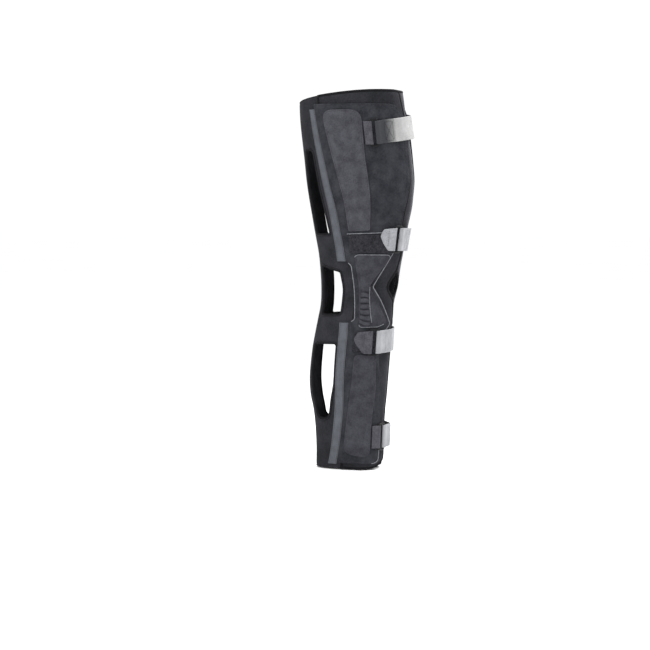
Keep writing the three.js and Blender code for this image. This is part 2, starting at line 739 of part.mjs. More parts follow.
backPanel();
flap("lateral_flap", 1, NEAR_EDGE.map(corner));
flap("medial_flap", -1, farEdge());
for (const [name, side] of [["lateral", 1], ["medial", -1]]) {
  sidePanel(`${name}_side_panel`, side);
  sideTape(`${name}_thigh_tape`, side, 0.135, 0.905);
  sideTape(`${name}_calf_tape`, side, -0.975, -0.19);
  pad(`${name}_thigh_pad`, side, THIGH_PAD);
  pad(`${name}_knee_pad`, side, KNEE_PAD);
  pad(`${name}_calf_pad`, side, CALF_PAD);
  gathers(`${name}_gathers`, side);
}
loopBand("upper_loop_band", UPPER_BAND);
loopBand("lower_loop_band", LOWER_BAND);
STRAPS.forEach(strapSet);

export default brace;
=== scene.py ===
import math
from collections import namedtuple

import bpy
import numpy as np
from mathutils import Matrix, Vector
from mathutils.geometry import delaunay_2d_cdt


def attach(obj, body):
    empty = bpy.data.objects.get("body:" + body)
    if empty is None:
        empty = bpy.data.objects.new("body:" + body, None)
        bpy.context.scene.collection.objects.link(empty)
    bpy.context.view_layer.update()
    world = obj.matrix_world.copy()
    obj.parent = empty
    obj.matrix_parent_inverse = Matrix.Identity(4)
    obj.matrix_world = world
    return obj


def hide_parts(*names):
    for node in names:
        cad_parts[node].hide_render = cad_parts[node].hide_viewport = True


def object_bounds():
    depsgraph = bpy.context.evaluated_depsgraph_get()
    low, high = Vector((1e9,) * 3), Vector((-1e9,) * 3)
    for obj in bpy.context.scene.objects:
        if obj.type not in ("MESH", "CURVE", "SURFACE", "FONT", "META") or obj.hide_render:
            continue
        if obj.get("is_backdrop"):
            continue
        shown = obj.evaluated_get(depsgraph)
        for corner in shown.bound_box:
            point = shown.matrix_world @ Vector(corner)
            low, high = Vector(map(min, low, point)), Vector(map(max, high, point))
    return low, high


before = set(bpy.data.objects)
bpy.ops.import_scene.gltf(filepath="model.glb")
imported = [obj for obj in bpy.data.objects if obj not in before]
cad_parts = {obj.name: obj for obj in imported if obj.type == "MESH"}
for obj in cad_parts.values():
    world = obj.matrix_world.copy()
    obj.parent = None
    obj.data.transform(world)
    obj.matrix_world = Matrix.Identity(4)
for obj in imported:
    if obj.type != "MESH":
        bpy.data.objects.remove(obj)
cad_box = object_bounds()

# Back of the wrap
#
# The half of the brace behind the side seams: foam about 4.5 mm thick, laminated between two
# knitted faces and cut flat, then bent round the leg. Three windows on each side of the spine
# let the skin breathe, and their raw edges are folded into a soft elastic binding.

ABOVE_KNEE, BELOW_KNEE = 335.0, 311.0
WRAP_THICK = 4.5
LAYER_GAP = 0.8
SEAM_UNDER_PANEL = 8
SIDES = (("lateral", 1), ("medial", -1))

# The leg's section: height, the place it follows, then front, back, half width and lean as
# shares of that place's depth or width in millimetres
PLACES = {"thigh": (174, 156), "knee": (122, 110), "calf": (122, 108), "ankle": (102, 82)}
FORM = [
    (-1.03, "ankle", 0.314, 0.71, 0.5, 0), (-0.905, "ankle", 0.333, 0.705, 0.512, 0),
    (-0.794, "ankle", 0.343, 0.72, 0.543, 0), (-0.676, "calf", 0.303, 0.632, 0.444, 0),
    (-0.594, "calf", 0.324, 0.671, 0.477, 0), (-0.492, "calf", 0.344, 0.683, 0.5, 0),
    (-0.349, "calf", 0.381, 0.645, 0.509, 0), (-0.27, "calf", 0.393, 0.607, 0.5, 0),
    (-0.175, "knee", 0.41, 0.56, 0.482, 0), (-0.095, "knee", 0.443, 0.522, 0.482, 0),
    (0, "knee", 0.5, 0.513, 0.5, 0), (0.09, "knee", 0.541, 0.522, 0.518, -0.009),
    (0.179, "knee", 0.586, 0.543, 0.545, -0.018), (0.299, "thigh", 0.454, 0.422, 0.417, -0.019),
    (0.418, "thigh", 0.503, 0.461, 0.449, -0.026), (0.537, "thigh", 0.517, 0.494, 0.474, -0.038),
    (0.642, "thigh", 0.503, 0.517, 0.487, -0.045), (0.746, "thigh", 0.477, 0.538, 0.5, -0.051),
    (0.866, "thigh", 0.443, 0.556, 0.506, -0.064), (1.03, "thigh", 0.402, 0.565, 0.513, -0.077),
]
ANGLES = np.linspace(0, math.pi, 121)


def height_of(share):
    return share * (BELOW_KNEE if share < 0 else ABOVE_KNEE)


def unit(vectors):
    return vectors / np.linalg.norm(vectors, axis=-1, keepdims=True)


def lengths_along(points):
    """The length run at each of a line's points."""
    return np.concatenate([[0], np.cumsum(np.linalg.norm(np.diff(points, axis=0), axis=1))])


FORM_HEIGHTS = [height_of(row[0]) for row in FORM]
FORM_SIZES = [
    [row[column] * PLACES[row[1]][column > 3] for row in FORM] for column in (2, 3, 4, 5)
]


def through(keys, values, x):
    """A value on the smooth curve through a table's rows."""
    keys, values = np.asarray(keys, float), np.asarray(values, float)
    row = np.clip(np.searchsorted(keys, x) - 1, 0, len(keys) - 2)

    def slope(i):
        before, after = np.maximum(i - 1, 0), np.minimum(i + 1, len(keys) - 1)
        return (values[after] - values[before]) / (keys[after] - keys[before])

    span = keys[row + 1] - keys[row]
    t = (x - keys[row]) / span
    return (
        values[row] * (1 + 2 * t) * (1 - t) ** 2
        + values[row + 1] * t * t * (3 - 2 * t)
        + span * t * (1 - t) * (slope(row) * (1 - t) - slope(row + 1) * t)
    )


def section(height):
    """The leg's level section: its sizes, and the length round it from the back, by angle."""
    front, back, side, lean = (through(FORM_HEIGHTS, column, height) for column in FORM_SIZES)
    depth = np.where(ANGLES < math.pi / 2, back[:, None], front[:, None])
    steps = np.hypot(
        np.diff(side[:, None] * np.sin(ANGLES), axis=1), np.diff(depth * np.cos(ANGLES), axis=1)
    )
    lengths = np.concatenate([np.zeros((len(height), 1)), np.cumsum(steps, axis=1)], axis=1)
    return front, back, side, lean, lengths


GIRTH_HEIGHTS = np.arange(-350.0, 371.0)
HALF_GIRTHS = section(GIRTH_HEIGHTS)[4][:, -1]


def girth(height):
    """Half the leg's girth: the length from the middle of the back to the middle of the front."""
    return np.interp(height, GIRTH_HEIGHTS, HALF_GIRTHS)


def on_form(turn, height):
    """The leg's skin and its outward direction. A turn of 0 is the middle of the back, 1 the
    middle of the front by the outer side, and -1 the same by the inner side."""
    turn, height = (np.array(a, float).ravel() for a in np.broadcast_arrays(turn, height))
    front, back, side, lean, lengths = section(height)
    turn = turn - 2 * np.round(turn / 2)
    hand = np.where(turn < 0, 1.0, -1.0)
    length = np.abs(turn) * lengths[:, -1]
    low = np.clip((lengths <= length[:, None]).sum(axis=1) - 1, 0, len(ANGLES) - 2)
    rows = np.arange(len(low))
    start, end = lengths[rows, low], lengths[rows, low + 1]
    angle = math.pi * (low + (length - start) / (end - start)) / (len(ANGLES) - 1)
    depth = np.where(angle < math.pi / 2, back, front)
    outward = [hand * np.sin(angle) / side, np.cos(angle) / depth, np.zeros(len(side))]
    skin = [lean + hand * side * np.sin(angle), depth * np.cos(angle), height]
    return np.stack(skin, axis=1), unit(np.stack(outward, axis=1))


def ramp(x, start, end):
    t = np.clip((x - start) / (end - start), 0, 1)
    return t * t * (3 - 2 * t)


def lift(turn, height):
    """How far the far flap's end lifts what lies over it at the front."""
    to_front = (1 - turn) * girth(height)
    return (WRAP_THICK + LAYER_GAP) * (1 - ramp(to_front, 42, 64)) * ramp(to_front, -28, 2)


def wrapped(middle, lifted):
    """Where a flat cut goes on the leg: across from its middle turn, up, and out from the skin."""

    def at(across, height, out):
        turn = middle + across / girth(height)
        skin, outward = on_form(turn, height)
        raised = out + (lift(turn, height) if lifted else 0)
        return skin + outward * np.broadcast_to(raised, len(skin))[:, None]

    return at


def rounded(corners):
    """Corners of a cut, as turn, height and radius, each rounded by a bow."""
    points = []
    for i, (turn, height, radius) in enumerate(corners):
        scale = girth(height)
        before, after = (
            np.array([(corners[j][0] - turn) * scale, corners[j][1] - height])
            for j in (i - 1, (i + 1) % len(corners))
        )
        sizes = np.linalg.norm(before), np.linalg.norm(after)
        half = math.acos(np.clip(before @ after / (sizes[0] * sizes[1]), -1, 1)) / 2
        cut = min(0.45 * min(sizes), radius / math.tan(half))
        if cut < 0.2 or half > 1.55:
            points.append((turn, height))
            continue
        start, end = before * cut / sizes[0], after * cut / sizes[1]
        for t in np.linspace(0, 1, max(3, round((math.pi - 2 * half) * 8))):
            bow = start * (1 - t) ** 2 + end * t * t
            points.append((turn + bow[0] / scale, height + bow[1]))
    return points


def flat_loop(points, middle, inside_left=True, step=2.5):
    """A closed outline laid flat in millimetres about its middle turn, in short steps."""
    points = np.array(points, float)
    flat = []
    for start, end in zip(points, np.roll(points, -1, axis=0)):
        run = math.hypot((end[0] - start[0]) * girth(start[1]), end[1] - start[1])
        for t in np.arange(max(1, math.ceil(run / step))) / max(1, math.ceil(run / step)):
            turn, height = start + (end - start) * t
            flat.append(((turn - middle) * girth(height), height))
    flat = np.array(flat)
    after = np.roll(flat, -1, axis=0)
    area = (flat[:, 0] * after[:, 1] - after[:, 0] * flat[:, 1]).sum()
    return flat if (area > 0) == inside_left else flat[::-1]


def inward(loop, closed=True):
    """The direction into the cloth at each point of an outline, or of an open part of one."""
    if closed:
        run = np.roll(loop, -1, axis=0) - np.roll(loop, 1, axis=0)
    else:
        run = np.gradient(loop, axis=0)
    run = unit(run)
    return np.stack([-run[:, 1], run[:, 0]], axis=1)


def beside_edges(points, loops):
    """Distance from each point to the nearest cut edge, and whether it is in the cloth."""
    starts = np.concatenate(loops)
    ends = np.concatenate([np.roll(loop, -1, axis=0) for loop in loops])
    run = ends - starts
    square = (run**2).sum(axis=1)
    rise = np.where(run[:, 1] == 0, 1, run[:, 1])
    distance, inside = np.empty(len(points)), np.empty(len(points), bool)
    for i in range(0, len(points), 1500):
        part = slice(i, i + 1500)
        from_start = points[part, None] - starts
        t = np.clip((from_start * run).sum(axis=2) / square, 0, 1)
        distance[part] = np.sqrt(((from_start - t[..., None] * run) ** 2).sum(axis=2).min(axis=1))
        height = points[part, None, 1]
        crosses = (starts[:, 1] <= height) != (ends[:, 1] <= height)
        meets = starts[:, 0] + (height - starts[:, 1]) * run[:, 0] / rise
        inside[part] = (crosses & (points[part, None, 0] < meets)).sum(axis=1) % 2 == 1
    return distance, inside


def cut_cloth(loops, spacing=4.0, insets=(0.3, 0.8, 1.5, 2.3, 3.0, 3.7, 5.0)):
    """Fills an outline and its holes with triangles, close together along the cut edges."""
    rings = [loop + inward(loop) * inset for loop in loops for inset in insets]
    wanted = [np.full(len(loop), 0.9 * inset) for loop in loops for inset in insets]
    low, high = loops[0].min(axis=0), loops[0].max(axis=0)
    across, up = (np.arange(low[k], high[k], spacing) for k in (0, 1))
    grid = np.stack(np.meshgrid(across, up), axis=-1)
    grid[1::2, :, 0] += spacing / 2
    grid = grid.reshape(-1, 2)
    free = np.concatenate([*rings, grid])
    wanted = np.concatenate([*wanted, np.full(len(grid), insets[-1] + 0.5 * spacing)])
    distance, inside = beside_edges(free, loops)
    free = free[inside & (distance >= wanted)]
    fixed = np.concatenate(loops)
    edges, first = [], 0
    for loop in loops:
        edges += [(first + i, first + (i + 1) % len(loop)) for i in range(len(loop))]
        first += len(loop)
    corners = [Vector(p) for p in np.concatenate([fixed, free]).tolist()]
    points, _, faces, *_ = delaunay_2d_cdt(corners, edges, [], 0, 1e-4, False)
    points = np.array([tuple(p) for p in points])
    faces = np.array([f for f in faces if len(f) == 3])
    faces = faces[beside_edges(points[faces].mean(axis=1), loops)[1]]
    used = np.unique(faces)
    faces = np.searchsorted(used, faces)
    points = points[used]
    a, b, c = points[faces[:, 0]], points[faces[:, 1]], points[faces[:, 2]]
    wrong = (b - a)[:, 0] * (c - a)[:, 1] - (b - a)[:, 1] * (c - a)[:, 0] < 0
    faces[wrong] = faces[wrong][:, ::-1]
    return points, faces, beside_edges(points, loops)[0]


def linked(name, data):
    """A new object in the scene."""
    thing = bpy.data.objects.new(name, data)
    bpy.context.scene.collection.objects.link(thing)
    return thing


def new_piece(name, corners, faces, pattern, finish, slot, nodes=()):
    """A mesh in metres that rides on the brace, with its flat pattern in millimetres as UV."""
    mesh = bpy.data.meshes.new(name)
    mesh.from_pydata((np.asarray(corners) / 1000).tolist(), [], [list(map(int, f)) for f in faces])
    uv = mesh.uv_layers.new(name="pattern")
    index = np.empty(len(mesh.loops), int)
    mesh.loops.foreach_get("vertex_index", index)
    uv.data.foreach_set("uv", (np.asarray(pattern)[index] / 100).ravel())
    mesh.polygons.foreach_set("use_smooth", np.ones(len(mesh.polygons), bool))
    mesh.materials.append(finish)
    piece = linked(name, mesh)
    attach(piece, "root")
    if nodes:
        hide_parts(*nodes)
    return piece


def cloth_shell(cloth, at, inner, outer, bend, relief):
    """Both faces of a cut cloth, meeting in a round edge, with the outer face raised by relief."""
    points, faces, distance = cloth
    full = np.sqrt(1 - (1 - np.clip(distance / bend, 0, 1)) ** 2)
    middle, half = (inner + outer) / 2, (outer - inner) / 2
    raised = relief(points, distance) * full
    top = at(points[:, 0], points[:, 1], middle + half * full + raised)
    bottom = at(points[:, 0], points[:, 1], middle - half * full)
    open_ = distance > 0.01
    under = np.where(open_, len(points) + np.cumsum(open_) - 1, np.arange(len(points)))
    corners = np.concatenate([top, bottom[open_]])
    pattern = np.concatenate([points, points[open_]])
    return corners, np.concatenate([faces, under[faces[:, ::-1]]]), pattern


def swept(rows, closed):
    """Faces over rows of a closed section, with the ends capped where the path is open."""
    count, size = rows.shape[:2]
    faces = []
    for i in range(count if closed else count - 1):
        here, there = i * size, (i + 1) % count * size
        for j in range(size):
            after = (j + 1) % size
            faces.append((here + j, here + after, there + after, there + j))
    if not closed:
        faces += [tuple(range(size))[::-1], tuple(range((count - 1) * size, count * size))]
    return faces


def on_line(at, line, out):
    return at(line[:, 0], line[:, 1], np.full(len(line), float(out)))


def trim(loop, at, profile, closed=True):
    """A binding or cord along an edge. Its profile is in millimetres into the cloth and out."""
    into = inward(loop, closed)
    profile = np.array(profile)
    rows = np.stack([on_line(at, loop + into * reach, out) for reach, out in profile], axis=1)
    pattern = np.meshgrid(lengths_along(loop), lengths_along(profile), indexing="ij")
    return rows.reshape(-1, 3), swept(rows, closed), np.stack(pattern, axis=-1).reshape(-1, 2)


def joined(parts):
    """Several meshes as one."""
    corners, faces, patterns, first = [], [], [], 0
    for part_corners, part_faces, part_pattern in parts:
        corners.append(part_corners)
        patterns.append(part_pattern)
        faces += [tuple(int(i) + first for i in face) for face in part_faces]
        first += len(part_corners)
    return np.concatenate(corners), faces, np.concatenate(patterns)


def oval(wide, thick, across, out, count=10, power=1.0):
    """A closed section, round at power 1 and squarer below it."""
    angle = np.linspace(0, 2 * math.pi, count, endpoint=False)
    cos, sin = np.cos(angle), np.sin(angle)
    return np.stack(
        [
            across + wide / 2 * np.sign(cos) * np.abs(cos) ** power,
            out + thick / 2 * np.sign(sin) * np.abs(sin) ** power,
        ],
        axis=1,
    )


def cord(line, at, *section):
    """A cord of an oval section along an open line."""
    return trim(line, at, oval(*section), closed=False)


STITCH_PITCH, STITCH_LENGTH, THREAD_THICK = 3.4, 2.6, 0.62


def sewn(lines):
    """A row of lockstitches along each line of points, as bowed ends of thread."""
    parts = []
    for points, outward in lines:
        run = lengths_along(points)
        starts = np.arange(STITCH_PITCH / 2, run[-1] - STITCH_LENGTH, STITCH_PITCH)
        where = starts[:, None] + np.array([0, 0.22, 0.78, 1]) * STITCH_LENGTH
        centre, up = (
            np.stack([np.interp(where, run, a[:, k]) for k in range(3)], axis=-1)
            for a in (points, outward)
        )
        along = np.broadcast_to(unit(centre[:, -1:] - centre[:, :1]), centre.shape)
        beside = unit(np.cross(along, up))
        size = THREAD_THICK / 2 * np.array([0.35, 1, 1, 0.35])
        centre = centre + up * (THREAD_THICK * np.array([-0.35, 0.2, 0.2, -0.35]))[:, None]
        angle = np.linspace(0, 2 * math.pi, 6, endpoint=False)[:, None]
        spoke = np.cos(angle) * beside[:, :, None] + np.sin(angle) * up[:, :, None]
        ring = centre[:, :, None] + spoke * size[:, None, None]
        one = swept(np.zeros((4, 6, 3)), False)
        faces = [tuple(i + 24 * k for i in face) for k in range(len(starts)) for face in one]
        corners = ring.reshape(-1, 3)
        pattern = np.stack([np.arange(len(corners)), np.zeros(len(corners))], axis=1)
        parts.append((corners, faces, pattern))
    return joined(parts)


def seam(line, at, out):
    """A flat line's points on the leg and their outward direction, for stitching."""
    low = on_line(at, line, out)
    return low, on_line(at, line, out + 1) - low


def inset(loop, distance):
    """An outline moved into the cloth, without the points that a tight corner crowds."""
    line = loop + inward(loop) * distance
    keep = beside_edges(line, [loop])[0] > 0.93 * distance
    return np.concatenate([line[keep], line[keep][:1]])


def linear(colour):
    """An sRGB hex colour as linear light."""
    shares = [int(colour[i : i + 2], 16) / 255 for i in (1, 3, 5)]
    return (*(s / 12.92 if s <= 0.04045 else ((s + 0.055) / 1.055) ** 2.4 for s in shares), 1.0)


def node(finish, kind, inputs=None, **settings):
    """Adds a node with its settings. An input is a value, or another node's output to link."""
    made = finish.node_tree.nodes.new(kind)
    for name, value in settings.items():
        setattr(made, name, value)
    for name, value in (inputs or {}).items():
        if isinstance(value, bpy.types.NodeSocket):
            finish.node_tree.links.new(value, made.inputs[name])
        else:
            made.inputs[name].default_value = value
    return made


def flat_pattern(finish):
    """A piece's flat pattern, in units of 100 mm."""
    return node(finish, "ShaderNodeUVMap", uv_map="pattern").outputs[0]


def pattern_height(finish):
    return node(finish, "ShaderNodeSeparateXYZ", {0: flat_pattern(finish)}).outputs["Y"]


def maths(finish, operation, *values):
    inputs = dict(enumerate(values))
    return node(finish, "ShaderNodeMath", inputs, operation=operation).outputs[0]


def mapped(finish, value, start, end, to_start=0.0, to_end=1.0, **settings):
    """A value from start to end, carried over to another range."""
    inputs = {
        "Value": value, "From Min": start, "From Max": end, "To Min": to_start, "To Max": to_end
    }
    return node(finish, "ShaderNodeMapRange", inputs, **settings).outputs[0]


def blend(finish, share, first, second, **settings):
    inputs = {0: share, 6: first, 7: second}
    return node(finish, "ShaderNodeMix", inputs, data_type="RGBA", **settings).outputs[2]


def shader_of(finish):
    return finish.node_tree.nodes["Principled BSDF"].inputs


def new_finish(
    name, dark, light, patch, grain, contrast=0.5, rough=(0.85, 1.0), sheen=None, ribs=None,
    pile=None, **sockets,
):
    """A material that drifts between two shades in patches and in a finer grain, sizes in mm.

    Cloth hides most of its gloss between its threads, so the specular level starts low. sheen
    is a weight, a roughness and a tint. ribs are their spacing, the pattern's axis across them,
    the bump's strength and its depth, and how much they wander. pile is the grain's strength and
    depth as a bump."""
    finish = bpy.data.materials.new(name)
    finish.use_nodes = True
    shader = shader_of(finish)
    if sheen:
        weight, roughness, tint = sheen
        sockets.update(Sheen_Weight=weight, Sheen_Roughness=roughness, Sheen_Tint=linear(tint))
    for key, value in {"Specular_IOR_Level": 0.05, **sockets}.items():
        shader[key.replace("_", " ")].default_value = value
    place = node(finish, "ShaderNodeTexCoord").outputs["Object"]
    wide, fine = (
        node(
            finish, "ShaderNodeTexNoise", {"Vector": place, "Scale": 1000 / size, "Detail": detail}
        ).outputs["Fac"]
        for size, detail in ((patch, 2.0), (grain, 3.0))
    )
    both = node(finish, "ShaderNodeMix", {0: contrast, 2: wide, 3: fine}).outputs[0]
    links = {
        "Base Color": blend(finish, mapped(finish, both, 0.36, 0.64), linear(dark), linear(light)),
        "Roughness": mapped(finish, fine, 0, 1, *rough),
    }
    bumps = []
    if ribs:
        spacing, direction, strength, depth, wander = ribs
        waves = node(
            finish, "ShaderNodeTexWave",
            {
                "Vector": flat_pattern(finish), "Scale": 100 / spacing / 20 * math.pi,
                "Distortion": wander, "Detail Scale": 3.0,
            },
            bands_direction=direction,
        )
        bumps.append((waves.outputs["Fac"], strength, depth))
    if pile:
        bumps.append((fine, *pile))
    below = {}
    for height, strength, depth in bumps:
        inputs = {"Height": height, "Strength": strength, "Distance": depth / 1000, **below}
        links["Normal"] = node(finish, "ShaderNodeBump", inputs).outputs[0]
        below = {"Normal": links["Normal"]}
    for socket, source in links.items():
        finish.node_tree.links.new(source, shader[socket])
    return finish


def recolour(finish, share, colour, **settings):
    """Blends a colour over a finish's own."""
    own = shader_of(finish)["Base Color"].links[0].from_socket
    blended = blend(finish, share, own, colour, **settings)
    finish.node_tree.links.new(blended, shader_of(finish)["Base Color"])


# Knitted face over foam: dark charcoal and dull, with fine ribs up the leg that catch a little
# light. The real ribs stand 0.6 mm apart, too fine to show, so they are drawn at 1.6 mm. The
# flaps' face is brushed for the hooks, and shines along the front where it is seen from the side.
knitted, brushed = (
    new_finish(
        name, "#1f2022", "#2f2f33", patch=30, grain=2.2, sheen=(sheen, 0.25, "#b4b4bc"),
        ribs=(1.6, "X", 0.35, 0.3, 1.5), pile=(0.4, 0.4),
    )
    for name, sheen in (("knitted_foam_laminate", 0.05), ("brushed_foam_laminate", 0.7))
)

# Elastic binding: near black, a little smoother than the knit, with ribs across its width
binding = new_finish(
    "elastic_binding", "#121214", "#1b1b1e", patch=12, grain=1.4, rough=(0.7, 0.9),
    sheen=(0.05, 0.5, "#5a5a62"), ribs=(1.2, "X", 0.4, 0.2, 0),
)

# Polyester sewing thread, slightly glossy: charcoal, and a light grey for the straps
thread, pale_thread = (
    new_finish(
        name, dark, light, patch=6, grain=0.8, rough=(0.5, 0.7), sheen=(0.05, 0.5, "#ffffff")
    )
    for name, dark, light in (
        ("dark_sewing_thread", "#2b2a2f", "#3a393f"), ("pale_sewing_thread", "#8a8b8e", "#a6a7aa")
    )
)

SIDE_EDGE = [
    (-1, 0.399), (-0.8, 0.47), (-0.603, 0.516), (-0.4, 0.52), (-0.19, 0.513), (0.137, 0.448),
    (0.35, 0.405), (0.552, 0.358), (0.904, 0.301), (1, 0.29),
]
TOP_RIM = [(0, 0.94), (0.39, 0.979), (0.7, 1), (1, 1)]
WINDOWS = {
    "thigh": [
        (0.148, 0.272, 4), (0.317, 0.275, 3), (0.266, 0.5, 60), (0.238, 0.7, 12), (0.16, 0.7, 9),
        (0.128, 0.5, 60),
    ],
    "knee": [
        (0.182, -0.149, 5), (0.418, -0.145, 6), (0.424, -0.006, 60), (0.392, 0.08, 5),
        (0.17, 0.112, 5),
    ],
    "calf": [
        (0.165, -0.725, 14), (0.32, -0.725, 16), (0.418, -0.53, 90), (0.414, -0.308, 6),
        (0.135, -0.312, 6), (0.145, -0.52, 60),
    ],
}


def side_edge(height):
    share = np.asarray(height) / np.where(np.asarray(height) < 0, BELOW_KNEE, ABOVE_KNEE)
    return through([k for k, _ in SIDE_EDGE], [v for _, v in SIDE_EDGE], share)


def seam_edge(height):
    return side_edge(height) + SEAM_UNDER_PANEL / girth(height)


def top_rim(start, end):
    turns = np.linspace(start, end, max(3, round(abs(end - start) * 11) + 1))
    rise = through([k for k, _ in TOP_RIM], [v for _, v in TOP_RIM], np.abs(turns))
    return [(turn, height_of(share), 0) for turn, share in zip(turns, rise)]


def corners_of(rows, hand=1):
    return [(hand * turn, height_of(share), radius) for turn, share, radius in rows]


def ripple(points, size, seed):
    """The soft unevenness of cloth over a leg, from -1 to 1, with swells of about that size."""
    draw = np.random.default_rng(seed)
    total = 0
    for _ in range(6):
        angle, phase = draw.uniform(0, 2 * math.pi, 2)
        wave = 2 * math.pi / (size * draw.uniform(0.7, 1.5))
        run = points[:, 0] * math.cos(angle) + points[:, 1] * math.sin(angle)
        total = total + np.sin(wave * run + phase)
    return total / 6


def laminate_relief(points, distance):
    """Foam pinched along the seam 3 mm in from its edge, and soft elsewhere."""
    pinch = -0.5 * np.exp(-(((distance - 3.2) / 1.1) ** 2))
    return pinch + 0.5 * ripple(points, 60, 4) * ramp(distance, 3, 20)


def bound(loop, at, proud, reach):
    """A binding folded over the wrap's edge, as a flat U with rounded lips."""
    out, back = WRAP_THICK + proud, -0.4
    profile = [
        (-0.7, back + 0.9), (-1.0, (back + out) / 2), (-0.7, out - 0.9), (0.2, out - 0.1),
        (1.6, out), (reach - 0.5, out - 0.25), (reach, out - 0.8), (reach - 0.4, 0.8),
        (reach, 0.2), (1.6, back), (0.2, back + 0.2),
    ]
    return trim(loop, at, profile)


def wrap_shell(loops, at):
    return cloth_shell(cut_cloth(loops), at, 0, WRAP_THICK, 2.0, laminate_relief)


seam_heights = np.linspace(-BELOW_KNEE, height_of(0.95), 12)
rim_turn = float(seam_edge(height_of(0.96)))


def beside_seam(gap):
    """An edge up the side seam, a gap in front of it or behind it."""
    return [(float(seam_edge(h) + gap / girth(h)), h, 0) for h in seam_heights]


back_edge = beside_seam(-LAYER_GAP / 2)
outline = rounded(
    [*back_edge, *top_rim(rim_turn, -rim_turn), *[(-t, h, 0) for t, h, _ in back_edge[::-1]]]
)
holes = [rounded(corners_of(rows, hand)) for rows in WINDOWS.values() for hand in (1, -1)]
back_at = wrapped(0, False)
back_loops = [flat_loop(outline, 0)] + [flat_loop(hole, 0, False) for hole in holes]
piece = new_piece(
    "back_panel_cloth", *wrap_shell(back_loops, back_at), knitted, "foam", ["back_panel"]
)

rims = [bound(loop, back_at, 0.5, 3.6) for loop in back_loops[1:]]
new_piece("window_bindings", *joined(rims), binding, "foam")
lines = [seam(inset(loop, 2.6), back_at, WRAP_THICK + 0.55) for loop in back_loops[1:]]
new_piece("window_stitching", *sewn(lines), thread, "foam")

# Flaps
#
# The outer and the inner half of the wrap's front, of the same laminate, sewn to the back along
# the side seams. The outer flap lies over the inner one, and both are cut away at the kneecap.

LAP_UNDER = 30
NEAR_EDGE = [
    (0.8, -1, 40), (0.985, -0.955, 16), (0.97, -0.85, 30), (0.98, -0.5, 60), (0.96, -0.3, 30),
    (0.97, -0.16, 12), (0.93, -0.074, 10), (0.8, 0.002, 16), (0.902, 0.088, 12), (0.93, 0.17, 20),
    (0.885, 0.307, 30), (0.882, 0.385, 30), (0.922, 0.543, 60), (0.917, 0.654, 60),
    (0.94, 0.86, 60), (0.905, 0.999, 34),
]
FAR_EDGE = [
    (-1, -1, 30), (-0.955, 1, 14), (-0.115, 1, 14), (0.006, -0.53, 18), (0.125, 1, 14), (1, 1, 10)
]

near_edge = corners_of(NEAR_EDGE)
far_edge = [
    (1 + beyond * LAP_UNDER / girth(height_of(share)), height_of(share), radius)
    for share, beyond, radius in FAR_EDGE
]
flap_bindings = []
for (name, hand), front in zip(SIDES, (near_edge, far_edge)):
    rim = top_rim(front[-1][0] - 0.05, rim_turn + 0.002)
    outline = rounded([*front, *rim, *beside_seam(LAYER_GAP / 2)[::-1]])
    middle = hand * 0.7
    loop = flat_loop([(hand * turn, height) for turn, height in outline], middle)
    at = wrapped(middle, hand > 0)
    piece = new_piece(
        f"{name}_flap_cloth", *wrap_shell([loop], at), brushed, "foam", [f"{name}_flap"]
    )
    flap_bindings.append(bound(loop, at, 0.3, 3.4))
new_piece("flap_bindings", *joined(flap_bindings), binding, "foam")

# Side panels
#
# One panel lies over each side seam: velour laminated on a stiff foam core, with a pocket for
# the metal stays inside. It is notched beside the kneecap, and its edge is overlocked.

PANEL_IN, PANEL_OUT = WRAP_THICK + 0.1, 7.8
PANEL_FRONT = [
    (0.845, -0.97, 12), (0.858, -0.721, 60), (0.829, -0.552, 60), (0.785, -0.36, 20),
    (0.84, -0.235, 12), (0.895, -0.2, 7), (0.683, 0.006, 6), (0.868, 0.24, 20),
    (0.862, 0.385, 40), (0.904, 0.543, 60), (0.9, 0.654, 60), (0.918, 0.86, 40), (0.83, 0.93, 24),
]

# Brushed velour: charcoal pile about 1 mm high, soft patches where it lies in other
# directions, and a broad sheen at glancing angles
velour = new_finish(
    "brushed_velour", "#232428", "#36373b", patch=20, grain=3.0, contrast=0.35,
    sheen=(0.1, 0.45, "#8a8a94"), pile=(0.7, 0.8),
)

# Overlock edging: textured polyester thread, mid grey, in close loops over the cut edge. The
# edge is tucked under but behind the knee, in the notch and at the lower front corner.
edging = new_finish(
    "overlock_edging", "#5a5b60", "#7a7b80", patch=5, grain=1.2, rough=(0.75, 0.95),
    sheen=(0.1, 0.5, "#c0c0c8"), ribs=(1.3, "X", 0.8, 0.4, 0),
)


def panel_outline():
    top, bottom = height_of(0.93), height_of(-0.97)
    knee_top, knee_bottom = height_of(0.137), height_of(-0.185)
    # Heights, how far in front of the side edge, and radii: the panel steps forward at the knee
    rear = [(h, LAYER_GAP, 0) for h in np.linspace(top, knee_top, 7)]
    for h in (knee_top - 8, (knee_top + knee_bottom) / 2, knee_bottom + 4):
        rear.append((h, 8 + 1.5 * ramp(-h, -knee_top, -knee_bottom), 6))
    rear += [(h, LAYER_GAP, 0) for h in np.linspace(knee_bottom - 2, bottom, 7)]
    rear = [(float(side_edge(h) + gap / girth(h)), float(h), radius) for h, gap, radius in rear]
    return rounded([*corners_of(PANEL_FRONT), *rear])


def stretches(loop, chosen):
    """The runs of an outline's chosen points, each open, in order."""
    order = np.roll(np.arange(len(loop)), -int(np.argmin(chosen)))
    ends = np.flatnonzero(np.diff(chosen[order])) + 1
    return [loop[run] for run in np.split(order, ends)[1::2] if len(run) > 3]


